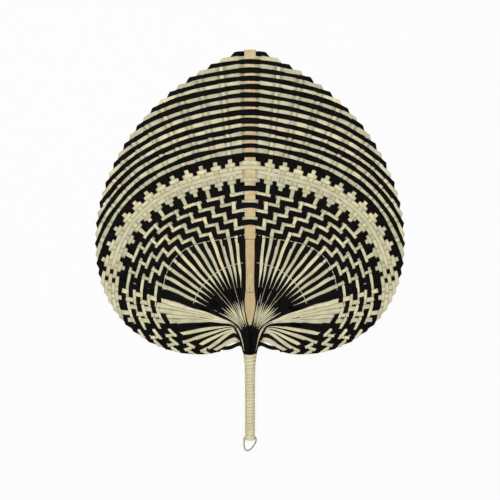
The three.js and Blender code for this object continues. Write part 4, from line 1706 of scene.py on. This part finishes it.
@dataclass
class Studio:
    """White floor, soft light and the camera square over the fan, in metres."""

    lens: float = 100.0
    sensor: float = 36.0
    view_width: float = 0.5
    blade_height: float = 0.0065
    floor_size: float = 6.0
    floor_level: float = -0.0006
    floor_colour: str = "#d8d8d6"
    floor_roughness: float = 0.9
    floor_white: float = 0.9
    sky: float = 0.25

    def build(self) -> None:
        """Make the floor, the lights and the camera."""
        self.floor()
        self.light("key", place=(-0.5, 0.5, 2.1), size=1.2, watts=32.0)
        self.light("fill", place=(0.6, -0.35, 2.1), size=1.4, watts=18.0)
        self.world()
        data = bpy.data.cameras.new("camera")
        data.lens, data.sensor_width = self.lens, self.sensor
        camera = bpy.data.objects.new("camera", data)
        camera.location = (0.0, 0.0, self.blade_height + self.view_width * self.lens / self.sensor)
        bpy.context.scene.collection.objects.link(camera)
        bpy.context.scene.camera = camera
        bpy.context.scene.view_settings.view_transform = "Standard"

    def floor(self) -> None:
        """A pale floor that the camera sees as white, with a faint shadow."""
        bpy.ops.object.select_all(action="DESELECT")
        bpy.ops.mesh.primitive_plane_add(size=self.floor_size, location=(0.0, 0.0, self.floor_level))
        plane = bpy.context.object
        plane.name = "floor"
        recipe = Recipe("pale_floor")
        recipe.shader.inputs["Base Color"].default_value = linear(self.floor_colour)
        recipe.shader.inputs["Roughness"].default_value = self.floor_roughness
        white = recipe.add("Emission", {"Color": (1.0, 1.0, 1.0, 1.0), "Strength": 1.0})
        rays = recipe.add("LightPath").outputs
        mirrored = recipe.math("MAXIMUM", rays["Is Glossy Ray"], rays["Is Transmission Ray"])
        seen = recipe.math("MAXIMUM", rays["Is Camera Ray"], mirrored)
        share = recipe.math("MULTIPLY", seen, self.floor_white)
        mixed = recipe.add("MixShader", {0: share, 1: recipe.shader.outputs[0], 2: white.outputs[0]})
        recipe.feed(recipe.tree.nodes["Material Output"].inputs["Surface"], mixed.outputs[0])
        plane.data.materials.append(recipe.material)

    def light(self, name: str, place: tuple[float, float, float], size: float, watts: float) -> None:
        """A square area lamp that looks at the fan.

        Args:
            name: The lamp's name.
            place: Where it hangs.
            size: Its side.
            watts: Its power.
        """
        data = bpy.data.lights.new(name, "AREA")
        data.energy, data.size = watts, size
        lamp = bpy.data.objects.new(name, data)
        lamp.location = place
        x, y, z = place
        lamp.rotation_euler = (math.atan2(math.hypot(x, y), z), 0.0, math.atan2(y, x) + math.pi / 2.0)
        bpy.context.scene.collection.objects.link(lamp)

    def world(self) -> None:
        """Even light from all round, seen as white."""
        world = bpy.data.worlds.new("sky")
        bpy.context.scene.world = world
        world.use_nodes = True
        nodes, links = world.node_tree.nodes, world.node_tree.links
        sky, white = nodes["Background"], nodes.new("ShaderNodeBackground")
        for background in (sky, white):
            background.inputs["Color"].default_value = (1.0, 1.0, 1.0, 1.0)
        sky.inputs["Strength"].default_value = self.sky
        rays, mixed = nodes.new("ShaderNodeLightPath"), nodes.new("ShaderNodeMixShader")
        links.new(rays.outputs["Is Camera Ray"], mixed.inputs[0])
        links.new(sky.outputs[0], mixed.inputs[1])
        links.new(white.outputs[0], mixed.inputs[2])
        links.new(mixed.outputs[0], nodes["World Output"].inputs["Surface"])


NATURAL_STRIP = BambooFinish("natural_bamboo", pale="#d7d1ae", deep="#a8a27e", warm="#d9c89a", cool="#c6c8a2",
                             marks=(0.0,), edge_shade=0.72, tuck_shade=0.34)
BLACK_STRIP = BambooFinish("black_bamboo", pale="#0f0c08", deep="#020100", warm="#0a0704", cool="#0c0d0e",
                           shade="#010101", roughness=(0.4, 0.58), gloss=0.03, mottle=0.4)
BUNCHED_ENDS = BambooFinish("bunched_black_bamboo", pale="#060505", deep="#010101", warm="#040403",
                            cool="#050506", shade="#010101", roughness=(0.26, 0.6), fibre_width=0.0011,
                            depth=0.0002, gloss=0.03, mottle=0.5)
SPINE_BAR = BambooFinish("spine_bamboo", pale="#c9b387", deep="#aa8f5e", warm="#d2c29b", cool="#c4a873",
                         fibre_length=0.09, fibre_width=0.0006, marks=(0.0, -0.053), mottle=0.1)
BINDING = BambooFinish("binding_strip", pale="#d8d1aa", deep="#bbb38a", warm="#dad1a9", cool="#cecba6",
                       fibre_width=0.0004, mottle=0.08)
LOOP_CANE = BambooFinish("loop_cane", pale="#7f7c60", deep="#64624a", warm="#8a8566", cool="#6f705a",
                         fibre_width=0.0002)
THREAD = BambooFinish("spacer_thread", pale="#d8d4bc", deep="#b4b094", warm="#d8d0b0", cool="#c8c8b4",
                      fibre_length=0.002, fibre_width=0.0002, roughness=(0.6, 0.8))
TAIL_ENDS = BambooFinish("tail_ends", pale="#d2c79a", deep="#8c8058", warm="#bfb080", cool="#a39a70",
                         fibre_width=0.0007, grain=Grain.LENGTH)


def main() -> None:
    """Build the fan's sub-assemblies in order and set the studio round them."""
    logging.basicConfig(level=logging.INFO, format="%(message)s")
    binding_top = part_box("handle_binding")[1][1] / MM
    band_low, band_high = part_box("end_wrap")
    modeller = Modeller((binding_top - Handle.top, (band_low[2] + band_high[2]) / 2.0 / MM))
    layout, neck = BladeLayout(), NeckForm()
    splints = Splints(modeller, layout, neck)
    for assembly in (splints, Spine(modeller, layout), NeckBundle(modeller, neck), Handle(modeller),
                     SpacerThreads(modeller, splints), Studio()):
        assembly.build()


if __name__ == "__main__":
    main()
